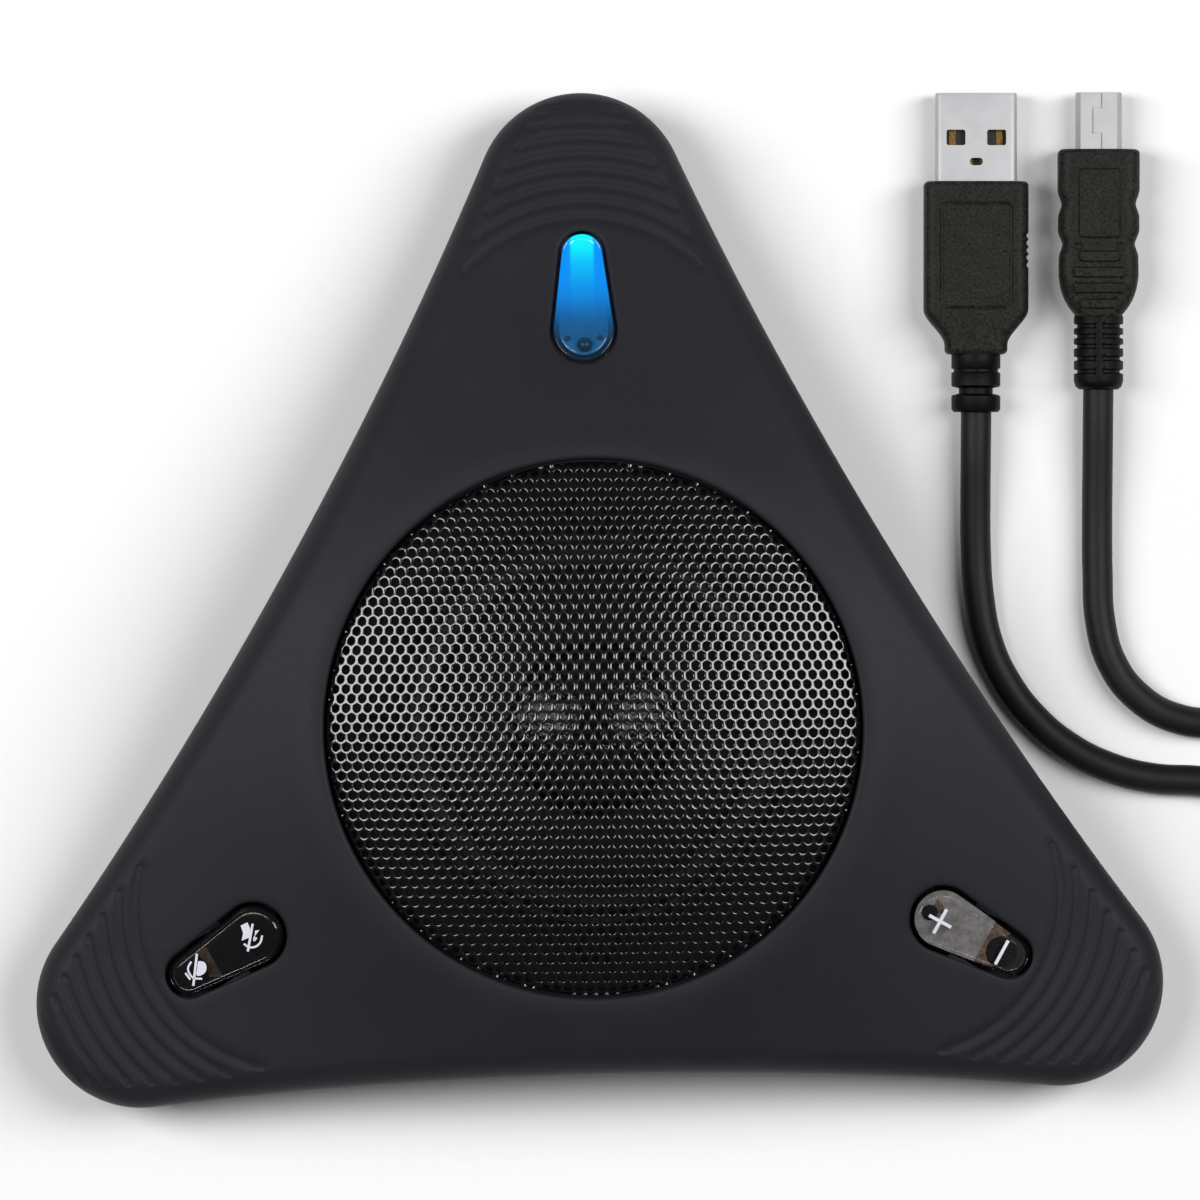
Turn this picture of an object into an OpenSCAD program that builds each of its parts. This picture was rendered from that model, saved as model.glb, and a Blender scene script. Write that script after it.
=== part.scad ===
// Three-lobed conference speakerphone with its USB cable, all sizes in mm.
// The origin is on the table under the speaker's axis, +Z up, and +Y points to the lobe with the status light.
// Lobe 0 holds the status light, lobe 1 the mute rocker and lobe 2 the volume rocker.

/* [Body] */
// Distance from the speaker's axis to the middle of each lobe
lobe_distance = 78; // [76:0.5:80]
// Radius of each lobe's round end
lobe_r = 15.3; // [14.5:0.1:16]
// Distance from the speaker's axis to the middle of each hollow side
side_distance = 50.7; // [50:0.1:51.5]
// Thickness of the plastic walls
wall = 2.2; // [1.8:0.1:2.4]
// Height of the joint between the two covers
joint_z = 9; // [8.5:0.1:9.5]
// Height of the rim around the grille
rim_z = 30; // [29:0.5:31]
// Height of the top surface at the lobe tips
tip_z = 16; // [15:0.5:17]
// How the top surface falls from the rim: 1 is a straight cone, more is a hollow hill
hill_power = 1.5; // [1.2:0.1:1.8]

/* [Grip grooves] */
// Number of grooves on each lobe
groove_count = 8; // [4:1:8]
// Radius of the first groove's arc
groove_first_r = 23.5; // [22.5:0.1:24]
// Distance from one groove to the next
groove_pitch = 2.36; // [2:0.02:2.4]
// Width of a groove
groove_w = 1.1; // [0.8:0.1:1.4]
// Depth of a groove
groove_depth = 0.35; // [0.2:0.05:0.6]

/* [Speaker] */
// Outer radius of the grille
grille_r = 38.9; // [38:0.1:39.5]
// Height of the middle of the grille
grille_top = 36.2; // [35:0.1:37.5]
// Radius where the cone meets its surround
cone_r = 22.8; // [21.5:0.1:23.5]
// Radius of the dust cap
dust_cap_r = 13; // [12.9:0.1:13.6]
// Travel of the cone each way
cone_travel = 1; // [0.5:0.1:1.2]

/* [Keys and light] */
// Distance from the speaker's axis to the centre of a key's wide end
key_wide_at = 58.2; // [57:0.1:59]
// Distance from the speaker's axis to the centre of a key's narrow end
key_narrow_at = 69.4; // [68.5:0.1:70.5]
// Radius of a key's wide end
key_wide_r = 4.45; // [4.2:0.05:4.7]
// Radius of a key's narrow end
key_narrow_r = 3; // [2.8:0.05:3.2]
// Gap between a key and its opening in the cover
key_gap = 0.45; // [0.4:0.05:0.6]
// How far a key stands above the cover
key_proud = 0.3; // [0.2:0.05:0.5]

/* [Cable] */
// Diameter of the cord
cord_d = 4.5; // [4:0.1:4.6]
// Turn of both plugs from straight ahead, in degrees
plug_turn = -1.4; // [-3:0.1:3]
// Width of the USB-A overmould
usb_w = 15.4; // [14:0.1:16.5]
// Width of the mini-B overmould
mini_w = 12; // [11:0.1:13]
// Thickness of both overmoulds
plug_t = 8; // [7.5:0.1:9]

/* [Hidden] */
$fn = 72;

// Colours
charcoal = [0.17, 0.17, 0.18];
gloss_black = [0.06, 0.06, 0.07];
smoke = [0.2, 0.19, 0.19];
rubber_grey = [0.12, 0.12, 0.12];
board_green = [0.08, 0.3, 0.16];
steel = [0.72, 0.73, 0.75];
gold = [0.83, 0.66, 0.3];
ferrite = [0.25, 0.25, 0.26];
paper_black = [0.1, 0.1, 0.1];
cream = [0.86, 0.84, 0.78];
lit_blue = [0.2, 0.6, 0.95];

// The outline: three round lobes joined by hollow arcs that run smoothly into them
lobe_steps = 28;
side_steps = 12;
side_r = (side_distance * side_distance + lobe_distance * lobe_distance
    - lobe_distance * side_distance - lobe_r * lobe_r)
    / (lobe_distance + 2 * lobe_r - 2 * side_distance);
side_centre = side_distance + side_r;
meet = atan2(side_centre * sin(60), side_centre * cos(60) - lobe_distance);
side_half = meet - 60;

// Covers
cover_top = 45;
rim_r = grille_r + 2.6;
reach_r = 101;
fall_end_r = 94;
hill_steps = 10;
base_z = 1.2;
floor_z = base_z + wall;
bottom_inset = 0.5;
lip_gap = 0.2;
lip_t = 1.2;
lip_z = joint_z + 1.8;
baffle_z = 24.8;
baffle_t = 2;
baffle_hole_r = 28.5;
recess_gap = 0.4;
foot_inner_r = 42.5;
foot_outer_r = 47.5;
foot_seat = 0.8;

// The grooves are arcs about one point on the lobe's axis, and each is narrower than the last
groove_centre = 51.2;
groove_first_half = 17.1;
groove_narrowing = 1.62;

// Case screws: one in each lobe and one near each hollow side
lobe_screw_at = 79;
side_screw_at = 38.5;
side_screw_turn = 20;
boss_r = 3.1;
post_r = 4.1;
screw_hole_r = 1.6;
screw_core_r = 1.15;
screw_head_r = 2.6;
head_pocket_r = 2.9;
head_pocket_z = 3.6;

// Mini-B socket in the hollow side opposite the light
socket_w = 7.7;
socket_h = 4;
socket_l = 9.2;
socket_face_y = -47.6;
mouth_w = 13.4;
mouth_h = 9.4;
board_z = 6;
board_t = 1.6;
socket_z = board_z + board_t + socket_h / 2;

// Lobe boards, switches and rockers
lobe_board_z = 11.5;
lobe_board_t = 1.2;
lobe_board_top = lobe_board_z + lobe_board_t;
key_middle = 63.9;
pivot_z = 18.4;
pivot_r = 1;
pivot_clearance = 0.05;
ear_in = 3.9;
ear_t = 2;
switch_w = 4.5;
switch_h = 2.6;
plunger_r = 1;
plunger_top = lobe_board_top + 3.4;
plunger_travel = 0.25;
pad_gap = 0.25;
cap_t = 1.4;
carrier_inset = 0.6;
carrier_low = 17.2;

// Microphones
mic_r = 3;
mic_l = 2.2;
mic_z = 7.2;
mic_at = 86;
boot_r = 3.6;
boot_l = 3;
port_r = 0.8;

// Loudspeaker
grille_t = 0.8;
grille_bend = 1.3;
grille_edge_z = rim_z + 0.4;
flange_z = 23.1;
flange_t = 1.2;
flange_r = 34.5;
speaker_screw_at = 31.8;
surround_r = 27.6;
coil_in = 12.25;
coil_out = 12.85;
motor_gap = 0.45;
yoke_z = 4.4;
yoke_t = 1.6;
magnet_t = 5;
plate_t = 2;
magnet_in = 16;
magnet_out = 24;
plate_r = 23;
basket_seat = yoke_z + yoke_t + magnet_t + plate_t;
spider_seat = 16.1;
spider_fold = 0.7;
spider_t = 0.35;
former_top = 18.2;

// Plugs: each tip's place on the table, and the lengths back from it
usb_tip = [58.7, 92.1];
usb_shell = [12, 4.5];
usb_out = 13;
usb_body = 25.5;
usb_relief = 8.5;
mini_tip = [76.8, 91.8];
mini_shell = [6.8, 3];
mini_out = 8.4;
mini_body = 25;
mini_relief = 10.4;
shell_t = 0.3;
shell_in = 5;
relief_r = 3.65;

// The coil of spare cord, and the routes of its two ends
cord_sides = 10;
coil_centre = [138, -6];
coil_mid_r = 26.6;
turn_pitch = 4.6;
layer_turns = 4;
coil_low = 0.4;
coil_high = coil_low + 2 * cord_d + 0.1;
coil_band = layer_turns * turn_pitch / 2;
tie_t = 0.6;
tie_angle = 16;
usb_route = [
    [57.6, 45.1, 4], [57.4, 39, 3.8], [57.2, 32, 3], [57.1, 25, 2.4], [57.4, 18, 2.3],
    [58.6, 11, 2.3], [61.2, 5, 2.3], [65, -0.2, 2.3], [70, -4.6, 2.3], [76, -7.8, 2.3],
    [82.5, -9.6, 2.3], [89.5, -10.2, 2.3], [96, -11.6, 2.3], [101.6, -14.6, 2.4],
    [106.4, -19.6, 2.5], [110.2, -24.8, 2.6]
];
mini_route = [
    [75.7, 48, 4], [75.5, 42, 3.8], [75.3, 35, 3], [75.1, 28, 2.4], [75, 21, 2.3],
    [75.2, 14, 2.3], [76.8, 7.6, 2.3], [80.6, 2.4, 2.3], [86, -0.8, 2.3], [92.4, -1.6, 2.6],
    [98.6, -0.4, 4], [103.6, 3, 6.2], [107.4, 7.6, 7.1], [110.2, 12.6, 7.1]
];

// Height of the top surface at distance r from the speaker's axis
function hill_z(r) = r <= rim_r ? rim_z
    : tip_z + (rim_z - tip_z) * pow(max(0, fall_end_r - r) / (fall_end_r - rim_r), hill_power);

function arc_points(centre, r, from, to, steps) = [
    for (i = [0 : steps]) let (a = from + (to - from) * i / steps)
        centre + r * [cos(a), sin(a)]
];

// The outline moved inwards by inset
function outline_points(inset) = [
    for (k = [0 : 2]) let (axis = 90 + 120 * k, side = axis + 60)
        each concat(
            arc_points(lobe_distance * [cos(axis), sin(axis)], lobe_r - inset,
                axis - meet, axis + meet, lobe_steps),
            [for (i = [1 : side_steps - 1]) let (a = side + 180 + side_half * (1 - 2 * i / side_steps))
                side_centre * [cos(side), sin(side)] + (side_r + inset) * [cos(a), sin(a)]]
        )
];

// A key's plan outline in lobe 0, moved outwards by grow
function key_points(grow) = let (
        tilt = asin((key_wide_r - key_narrow_r) / (key_narrow_at - key_wide_at))
    ) concat(
        arc_points([0, key_narrow_at], key_narrow_r + grow, tilt, 180 - tilt, 16),
        arc_points([0, key_wide_at], key_wide_r + grow, 180 - tilt, 360 + tilt, 22)
    );

module prism(points, from_z, to_z) {
    translate([0, 0, from_z])
        linear_extrude(height = to_z - from_z) polygon(points);
}

module ring(inner_r, outer_r, from_z, to_z) {
    rotate_extrude()
        translate([inner_r, from_z]) square([outer_r - inner_r, to_z - from_z]);
}

module block(size, centre) {
    translate(centre - size / 2) cube(size);
}

module in_lobe(k) {
    rotate([0, 0, 120 * k]) children();
}

// Everything under the top surface, moved down by drop and flat at middle_z inside the rim
module under_hill(drop, middle_r, middle_z) {
    rotate_extrude()
        polygon(concat(
            [[0, 0], [reach_r, 0]],
            [for (i = [0 : hill_steps]) let (r = reach_r + (middle_r - reach_r) * i / hill_steps)
                [r, hill_z(r) - drop]],
            [[middle_r, middle_z], [0, middle_z]]
        ));
}

module at_case_screws() {
    for (k = [0 : 2]) {
        in_lobe(k) translate([0, lobe_screw_at, 0]) children();
        rotate([0, 0, 120 * k - 60 + side_screw_turn]) translate([0, side_screw_at, 0]) children();
    }
}

module at_speaker_screws() {
    for (k = [0 : 3])
        rotate([0, 0, 90 * k]) translate([speaker_screw_at, 0, 0]) children();
}

// The opening for the plug, through the wall that faces -Y
module plug_mouth() {
    block([mouth_w, 12, mouth_h], [0, -side_distance, socket_z]);
}

// Ears that hold a rocker's pivot
module pivot_ears() {
    for (s = [-1, 1])
        block([ear_t, 4.6, 4.2], [s * (ear_in + ear_t / 2), key_middle, pivot_z + 0.3]);
}

module pivot_bore() {
    translate([0, key_middle, pivot_z]) rotate([0, 90, 0])
        cylinder(r = pivot_r + pivot_clearance, h = 2 * (ear_in + ear_t) + 2, center = true);
}

// One lobe's grooves, as bands that stand on the surface at their depth
module grooves() {
    difference() {
        for (i = [0 : groove_count - 1])
            let (
                r = groove_first_r + groove_pitch * i,
                half = asin((groove_first_half - groove_narrowing * i) / r)
            )
                translate([0, groove_centre, tip_z - 2]) rotate([0, 0, 90 - half])
                    rotate_extrude(angle = 2 * half, $fn = 144)
                        translate([r - groove_w / 2, 0]) square([groove_w, 20]);
        under_hill(groove_depth, rim_r, rim_z);
    }
}

module top_cover() {
    color(charcoal) difference() {
        union() {
            difference() {
                intersection() {
                    prism(outline_points(0), joint_z, cover_top);
                    under_hill(0, rim_r, rim_z);
                }
                intersection() {
                    prism(outline_points(wall), joint_z - 1, cover_top);
                    under_hill(wall, rim_r, baffle_z);
                }
                translate([0, 0, baffle_z + baffle_t])
                    cylinder(r = grille_r + recess_gap, h = 20, $fn = 120);
            }
            at_case_screws() translate([0, 0, joint_z + 0.3])
                cylinder(r = boss_r, h = 7.4);
            for (k = [0 : 2]) rotate([0, 0, 120 * k - 60 + side_screw_turn])
                translate([0, side_screw_at, joint_z + 1]) cylinder(r = boss_r, h = baffle_z - joint_z);
            at_speaker_screws() translate([0, 0, baffle_z + 0.5]) cylinder(r = 2.6, h = 4.1);
            for (k = [1, 2]) in_lobe(k) pivot_ears();
        }
        translate([0, 0, baffle_z - 5]) cylinder(r = baffle_hole_r, h = 20);
        for (k = [0 : 2]) in_lobe(k) prism(key_points(key_gap), tip_z - 2, cover_top);
        for (k = [0 : 2]) in_lobe(k) grooves();
        for (k = [1, 2]) in_lobe(k) pivot_bore();
        at_case_screws() translate([0, 0, joint_z - 1]) cylinder(r = screw_core_r, h = 7);
        at_speaker_screws() translate([0, 0, baffle_z - 1]) cylinder(r = screw_core_r, h = 5);
        plug_mouth();
    }
}

module bottom_cover() {
    color(charcoal) difference() {
        union() {
            difference() {
                prism(outline_points(bottom_inset), base_z, joint_z);
                prism(outline_points(bottom_inset + wall), floor_z, joint_z + 1);
            }
            difference() {
                prism(outline_points(wall + lip_gap), joint_z - 2, lip_z);
                prism(outline_points(wall + lip_gap + lip_t), joint_z - 3, lip_z + 1);
            }
            at_case_screws() translate([0, 0, base_z + 1]) cylinder(r = post_r, h = joint_z - base_z - 1);
            for (k = [0 : 2], at = [53.5, 74]) in_lobe(k)
                translate([0, at, floor_z - 1]) cylinder(r = 1.8, h = lobe_board_z - floor_z + 1);
            for (p = board_posts) translate([p[0], p[1], floor_z - 1])
                cylinder(r = 2.4, h = board_z - floor_z + 1);
        }
        ring(foot_inner_r, foot_outer_r, base_z - 1, base_z + foot_seat);
        at_case_screws() {
            translate([0, 0, base_z - 1]) cylinder(r = screw_hole_r, h = joint_z);
            translate([0, 0, base_z - 1]) cylinder(r = head_pocket_r, h = head_pocket_z - base_z + 1);
        }
        for (p = board_posts) translate([p[0], p[1], floor_z]) cylinder(r = 0.8, h = board_z);
        for (k = [0 : 2]) in_lobe(k) translate([0, lobe_distance, mic_z]) rotate([-90, 0, 0])
            cylinder(r = port_r, h = 20);
        plug_mouth();
    }
}

// A domed disc with an edge that turns down into the recess
module speaker_grille() {
    edge_r = grille_r - grille_bend;
    rise = grille_top - grille_edge_z;
    dome_r = (edge_r * edge_r + rise * rise) / (2 * rise);
    seat_z = baffle_z + baffle_t;
    color(gloss_black) union() {
        intersection() {
            difference() {
                translate([0, 0, grille_top - dome_r]) sphere(r = dome_r, $fn = 180);
                translate([0, 0, grille_top - dome_r]) sphere(r = dome_r - grille_t, $fn = 180);
            }
            translate([0, 0, seat_z]) cylinder(r = edge_r, h = 20, $fn = 120);
        }
        rotate_extrude($fn = 120) polygon([
            [edge_r - 0.6, grille_edge_z - grille_t], [edge_r - 0.2, grille_edge_z],
            [grille_r, grille_edge_z - 1], [grille_r, seat_z], [grille_r - grille_t, seat_z],
            [grille_r - grille_t, grille_edge_z - 1.6]
        ]);
    }
}

module foot_ring() {
    color(rubber_grey) ring(foot_inner_r, foot_outer_r, 0, base_z + foot_seat);
}

// A slab in the shape of a key between two depths under the top surface
module key_slab(grow, from_drop, to_drop) {
    difference() {
        intersection() {
            prism(key_points(grow), tip_z - 4, cover_top);
            under_hill(to_drop, rim_r, rim_z);
        }
        under_hill(from_drop, rim_r, rim_z);
    }
}

module light_lens() {
    color(lit_blue) union() {
        key_slab(0, wall + 0.5, -key_proud);
        key_slab(1.3, wall + 1.2, wall);
    }
}

module light_holder() {
    color(gloss_black) difference() {
        intersection() {
            prism(key_points(1), lobe_board_top, cover_top);
            under_hill(wall + 1.2, rim_r, rim_z);
        }
        prism(key_points(-0.4), lobe_board_top - 1, cover_top);
    }
}

module lobe_board(k) {
    color(board_green) in_lobe(k) difference() {
        block([14, 23.4, lobe_board_t], [0, key_middle, lobe_board_z + lobe_board_t / 2]);
        for (at = [53.5, 74]) translate([0, at, lobe_board_z - 1]) cylinder(r = 1.1, h = 4);
    }
}

module light_board() {
    lobe_board(0);
}

module light_led() {
    color(cream) block([3, 2.4, 1.4], [0, key_narrow_at - 0.4, lobe_board_top + 0.7]);
}

// A domed sensor on a stalk, looking up through the wide end of the lens
module light_sensor() {
    color(gloss_black) translate([0, key_wide_at - 1.6, lobe_board_top]) {
        cylinder(r = 1.3, h = 6);
        translate([0, 0, 6]) sphere(r = 1.3);
    }
}

module key_cap(k) {
    color(smoke) in_lobe(k) key_slab(0, cap_t, -key_proud);
}

// The rocker's frame: a block under the cap, two trunnions and two pads over the switches
module key_carrier(k) {
    color(gloss_black) in_lobe(k) union() {
        intersection() {
            prism(key_points(-carrier_inset), carrier_low, cover_top);
            under_hill(cap_t, rim_r, rim_z);
        }
        translate([0, key_middle, pivot_z]) rotate([0, 90, 0])
            cylinder(r = pivot_r, h = 2 * (ear_in + ear_t) - 0.6, center = true);
        for (at = [key_wide_at, key_narrow_at])
            translate([0, at, plunger_top + pad_gap]) cylinder(r = 1.2, h = 1.6);
    }
}

module switches(k) {
    color(smoke) in_lobe(k) for (at = [key_wide_at, key_narrow_at]) difference() {
        block([switch_w, switch_w, switch_h], [0, at, lobe_board_top + switch_h / 2]);
        translate([0, at, lobe_board_top + 1]) cylinder(r = plunger_r + 0.3, h = switch_h);
    }
}

module plunger(k, at) {
    color(cream) in_lobe(k) translate([0, at, plunger_top - 1.9])
        cylinder(r = plunger_r, h = 1.9);
}

module mute_key_cap() {
    key_cap(1);
}

module mute_key_carrier() {
    key_carrier(1);
}

module mute_board() {
    lobe_board(1);
}

module mute_switches() {
    switches(1);
}

module mute_plunger_inner() {
    plunger(1, key_wide_at);
}

module mute_plunger_outer() {
    plunger(1, key_narrow_at);
}

module volume_key_cap() {
    key_cap(2);
}

module volume_key_carrier() {
    key_carrier(2);
}

module volume_board() {
    lobe_board(2);
}

module volume_switches() {
    switches(2);
}

module volume_plunger_inner() {
    plunger(2, key_wide_at);
}

module volume_plunger_outer() {
    plunger(2, key_narrow_at);
}

module microphone(k) {
    color(steel) in_lobe(k) translate([0, mic_at, mic_z]) rotate([-90, 0, 0])
        cylinder(r = mic_r, h = mic_l);
}

// A rubber boot behind the wall, round the capsule, with a hole to the sound port
module mic_boot(k) {
    color(rubber_grey) in_lobe(k) translate([0, mic_at, mic_z]) rotate([-90, 0, 0]) difference() {
        cylinder(r = boot_r, h = boot_l);
        translate([0, 0, -1]) cylinder(r = mic_r, h = mic_l + 1);
        cylinder(r = port_r, h = boot_l + 1);
    }
}

module light_microphone() {
    microphone(0);
}

module mute_microphone() {
    microphone(1);
}

module volume_microphone() {
    microphone(2);
}

module light_mic_boot() {
    mic_boot(0);
}

module mute_mic_boot() {
    mic_boot(1);
}

module volume_mic_boot() {
    mic_boot(2);
}

// Pressed steel frame: back ring, sloping wall with windows, and flange
module speaker_basket() {
    color(ferrite) difference() {
        rotate_extrude() polygon([
            [coil_out + 1.4, basket_seat], [22, basket_seat], [23.6, spider_seat - 1],
            [24.6, spider_seat - 1], [28.6, flange_z], [flange_r, flange_z],
            [flange_r, flange_z + flange_t], [surround_r - 0.6, flange_z + flange_t],
            [24, spider_seat], [22.6, spider_seat], [21.4, basket_seat + 1.2],
            [coil_out + 1.4, basket_seat + 1.2]
        ]);
        for (k = [0 : 3]) rotate([0, 0, 45 + 90 * k])
            block([14, 16, 4.6], [26, 0, spider_seat + 3.4]);
        at_speaker_screws() translate([0, 0, flange_z - 1]) cylinder(r = 1.5, h = 4);
    }
}

module speaker_magnet() {
    color(ferrite) ring(magnet_in, magnet_out, yoke_z + yoke_t, yoke_z + yoke_t + magnet_t);
}

module speaker_top_plate() {
    color(steel) ring(coil_out + motor_gap, plate_r, basket_seat - plate_t, basket_seat);
}

module speaker_yoke() {
    color(steel) union() {
        translate([0, 0, yoke_z]) cylinder(r = plate_r, h = yoke_t);
        translate([0, 0, yoke_z]) cylinder(r = coil_in - motor_gap, h = basket_seat - yoke_z);
    }
}

module speaker_voice_coil() {
    color([0.7, 0.36, 0.18]) ring(coil_in, coil_out, basket_seat - plate_t - 1.6, former_top);
}

module speaker_cone() {
    color(paper_black) rotate_extrude() polygon([
        [coil_out, former_top - 0.7], [coil_out + 1, former_top - 0.7],
        [cone_r, baffle_z - 1], [cone_r, baffle_z - 0.5], [coil_out, former_top]
    ]);
}

module speaker_dust_cap() {
    cap_rise = 4;
    cap_r = (dust_cap_r * dust_cap_r + cap_rise * cap_rise) / (2 * cap_rise);
    color(gloss_black) intersection() {
        translate([0, 0, former_top + cap_rise - cap_r]) difference() {
            sphere(r = cap_r, $fn = 120);
            sphere(r = cap_r - 0.4, $fn = 120);
        }
        translate([0, 0, former_top + 0.15]) cylinder(r = dust_cap_r + 1, h = 6);
    }
}

module speaker_surround() {
    roll_r = (surround_r - cone_r) / 2;
    seat_z = baffle_z - 0.5;
    color(rubber_grey) rotate_extrude() polygon(concat(
        [[surround_r + 0.8, seat_z], [surround_r + 0.8, seat_z + 0.5]],
        arc_points([cone_r + roll_r, seat_z], roll_r, 12, 180, 10),
        arc_points([cone_r + roll_r, seat_z], roll_r - 0.5, 180, 0, 10)
    ));
}

// Corrugated ring from the coil's former to the basket's step
module speaker_spider() {
    folds = 6;
    from_r = coil_out + pivot_clearance;
    step = (23.6 - from_r) / folds;
    color([0.6, 0.5, 0.25]) rotate_extrude() polygon(concat(
        [for (i = [0 : folds]) [from_r + step * i, spider_seat + spider_fold * (i % 2)]],
        [for (i = [folds : -1 : 0]) [from_r + step * i, spider_seat + spider_t + spider_fold * (i % 2)]]
    ));
}

module speaker_gasket() {
    color(rubber_grey) difference() {
        ring(baffle_hole_r + 0.2, flange_r, baffle_z - 0.5, baffle_z);
        at_speaker_screws() translate([0, 0, baffle_z - 2]) cylinder(r = 1.5, h = 4);
    }
}

// A pan-head screw that points up, with a cross recess, its head's underside at z = 0
module screw(head_r, shank_r, length) {
    difference() {
        union() {
            translate([0, 0, -1.2]) cylinder(r = head_r, h = 1.2);
            translate([0, 0, -0.2]) cylinder(r = shank_r, h = length + 0.2);
        }
        for (a = [0, 90]) rotate([0, 0, a]) block([head_r * 1.1, 0.6, 1.4], [0, 0, -1.2]);
    }
}

module speaker_screws() {
    color(steel) at_speaker_screws() translate([0, 0, flange_z]) screw(2.4, screw_core_r, 5);
}

module case_screws() {
    color(steel) at_case_screws() translate([0, 0, head_pocket_z]) screw(screw_head_r, screw_core_r, 10);
}

// A curved board along the hollow side that faces -Y
board_in = 27;
board_out = 45;
board_half = 52;
board_posts = [[-22.3, -21.5], [22.3, -21.5]];

module main_board() {
    color(board_green) difference() {
        translate([0, 0, board_z]) rotate([0, 0, -90 - board_half])
            rotate_extrude(angle = 2 * board_half, $fn = 120)
                translate([board_in, 0]) square([board_out - board_in, board_t]);
        at_case_screws() translate([0, 0, board_z - 1]) cylinder(r = post_r + 0.4, h = 4);
        for (p = board_posts) translate([p[0], p[1], board_z - 1]) cylinder(r = 1.3, h = 4);
    }
}

module board_screws() {
    color(steel) for (p = board_posts)
        translate([p[0], p[1], board_z + board_t]) mirror([0, 0, 1]) screw(2.2, 0.8, 3.6);
}

module audio_chip() {
    color(gloss_black) rotate([0, 0, -29]) block([10, 10, 1.4], [0, -37, board_z + board_t + 0.7]);
}

module codec_chip() {
    color(gloss_black) rotate([0, 0, 41]) block([7, 7, 1], [0, -38.5, board_z + board_t + 0.5]);
}

module capacitors() {
    color(steel) for (at = [[-44, 39.5], [-14, 37]]) rotate([0, 0, at[0]])
        translate([0, -at[1], board_z + board_t]) cylinder(r = 3.15, h = 7.7);
}

module board_connectors() {
    color(cream) for (a = [-12, 12, 34]) rotate([0, 0, a])
        block([6, 3.4, 4], [0, -29.8, board_z + board_t + 2]);
}

// Folded metal socket with its mouth towards -Y
module usb_socket() {
    color(steel) difference() {
        block([socket_w, socket_l, socket_h], [0, socket_face_y + socket_l / 2, socket_z]);
        block([6.9, 12, 3.1], [0, socket_face_y, socket_z]);
    }
}

// A flat polygon set upright, so that z in the profile is the plug's thickness
module on_table(tip) {
    translate([tip[0], tip[1], plug_t / 2]) rotate([0, 0, plug_turn]) children();
}

module plug_shell(size, out) {
    long = out + shell_in;
    difference() {
        block([size[0], long, size[1]], [0, -long / 2, 0]);
        block([size[0] - 2 * shell_t, long * 2, size[1] - 2 * shell_t], [0, 0, 0]);
    }
}

// Body of a plug: a slab with round corners and round shoulders towards the cord
module plug_body(w, long, front, neck_w, shoulder) {
    h = w / 2;
    n = neck_w / 2;
    corner = 1.6;
    right = concat(
        arc_points([h - corner, -front - corner], corner, 90, 0, 5),
        arc_points([n, -front - long + shoulder], h - n, 0, -72, 6),
        [[n, -front - long]]
    );
    left = [for (i = [len(right) - 1 : -1 : 0]) [-right[i][0], right[i][1]]];
    translate([0, 0, -plug_t / 2]) linear_extrude(height = plug_t) polygon(concat(right, left));
}

// Strain relief: a sleeve with rings, along -Y from the body
module relief(start, long) {
    rings = 4;
    step = long / rings;
    translate([0, -start, 0]) rotate([90, 0, 0]) rotate_extrude()
        polygon(concat(
            [[0, 0]],
            [for (i = [0 : rings - 1]) each [
                [relief_r - 0.2 * i, step * i], [relief_r - 0.2 * i, step * (i + 0.6)],
                [relief_r - 0.9 - 0.1 * i, step * (i + 0.6)], [relief_r - 0.9 - 0.1 * i, step * (i + 1)]
            ]],
            [[0, long]]
        ));
}

module usb_plug_shell() {
    color(steel) on_table(usb_tip) difference() {
        plug_shell(usb_shell, usb_out);
        for (x = [-3, 3]) block([2.8, 2.3, 10], [x, -6.5, 0]);
        block([2.2, 1.25, 10], [0, -10.1, 4]);
    }
}

module usb_plug_tongue() {
    color(cream) on_table(usb_tip) block([10.9, usb_out + shell_in - 1, 1.9], [0, -(usb_out + shell_in + 1) / 2, -1]);
}

module usb_plug_contacts() {
    color(gold) on_table(usb_tip) for (x = [-3.5, -1, 1, 3.5]) block([1, 9, 0.25], [x, -6.5, 0.075]);
}

module usb_plug_overmould() {
    color(rubber_grey) on_table(usb_tip) difference() {
        plug_body(usb_w, usb_body, usb_out, 9.6, 4.5);
        block([usb_shell[0], 2 * (usb_out + shell_in), usb_shell[1]], [0, 0, 0]);
    }
}

module usb_plug_relief() {
    color(rubber_grey) on_table(usb_tip) relief(usb_out + usb_body, usb_relief);
}

module mini_plug_shell() {
    color(steel) on_table(mini_tip) plug_shell(mini_shell, mini_out);
}

module mini_plug_tongue() {
    color(gloss_black) on_table(mini_tip)
        block([5, mini_out + shell_in - 0.8, 1.1], [0, -(mini_out + shell_in + 0.8) / 2, 0.4]);
}

module mini_plug_overmould() {
    color(rubber_grey) on_table(mini_tip) difference() {
        plug_body(mini_w, mini_body, mini_out, 8, 4);
        block([mini_shell[0], 2 * (mini_out + shell_in), mini_shell[1]], [0, 0, 0]);
    }
}

module mini_plug_relief() {
    color(rubber_grey) on_table(mini_tip) relief(mini_out + mini_body, mini_relief);
}

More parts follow.
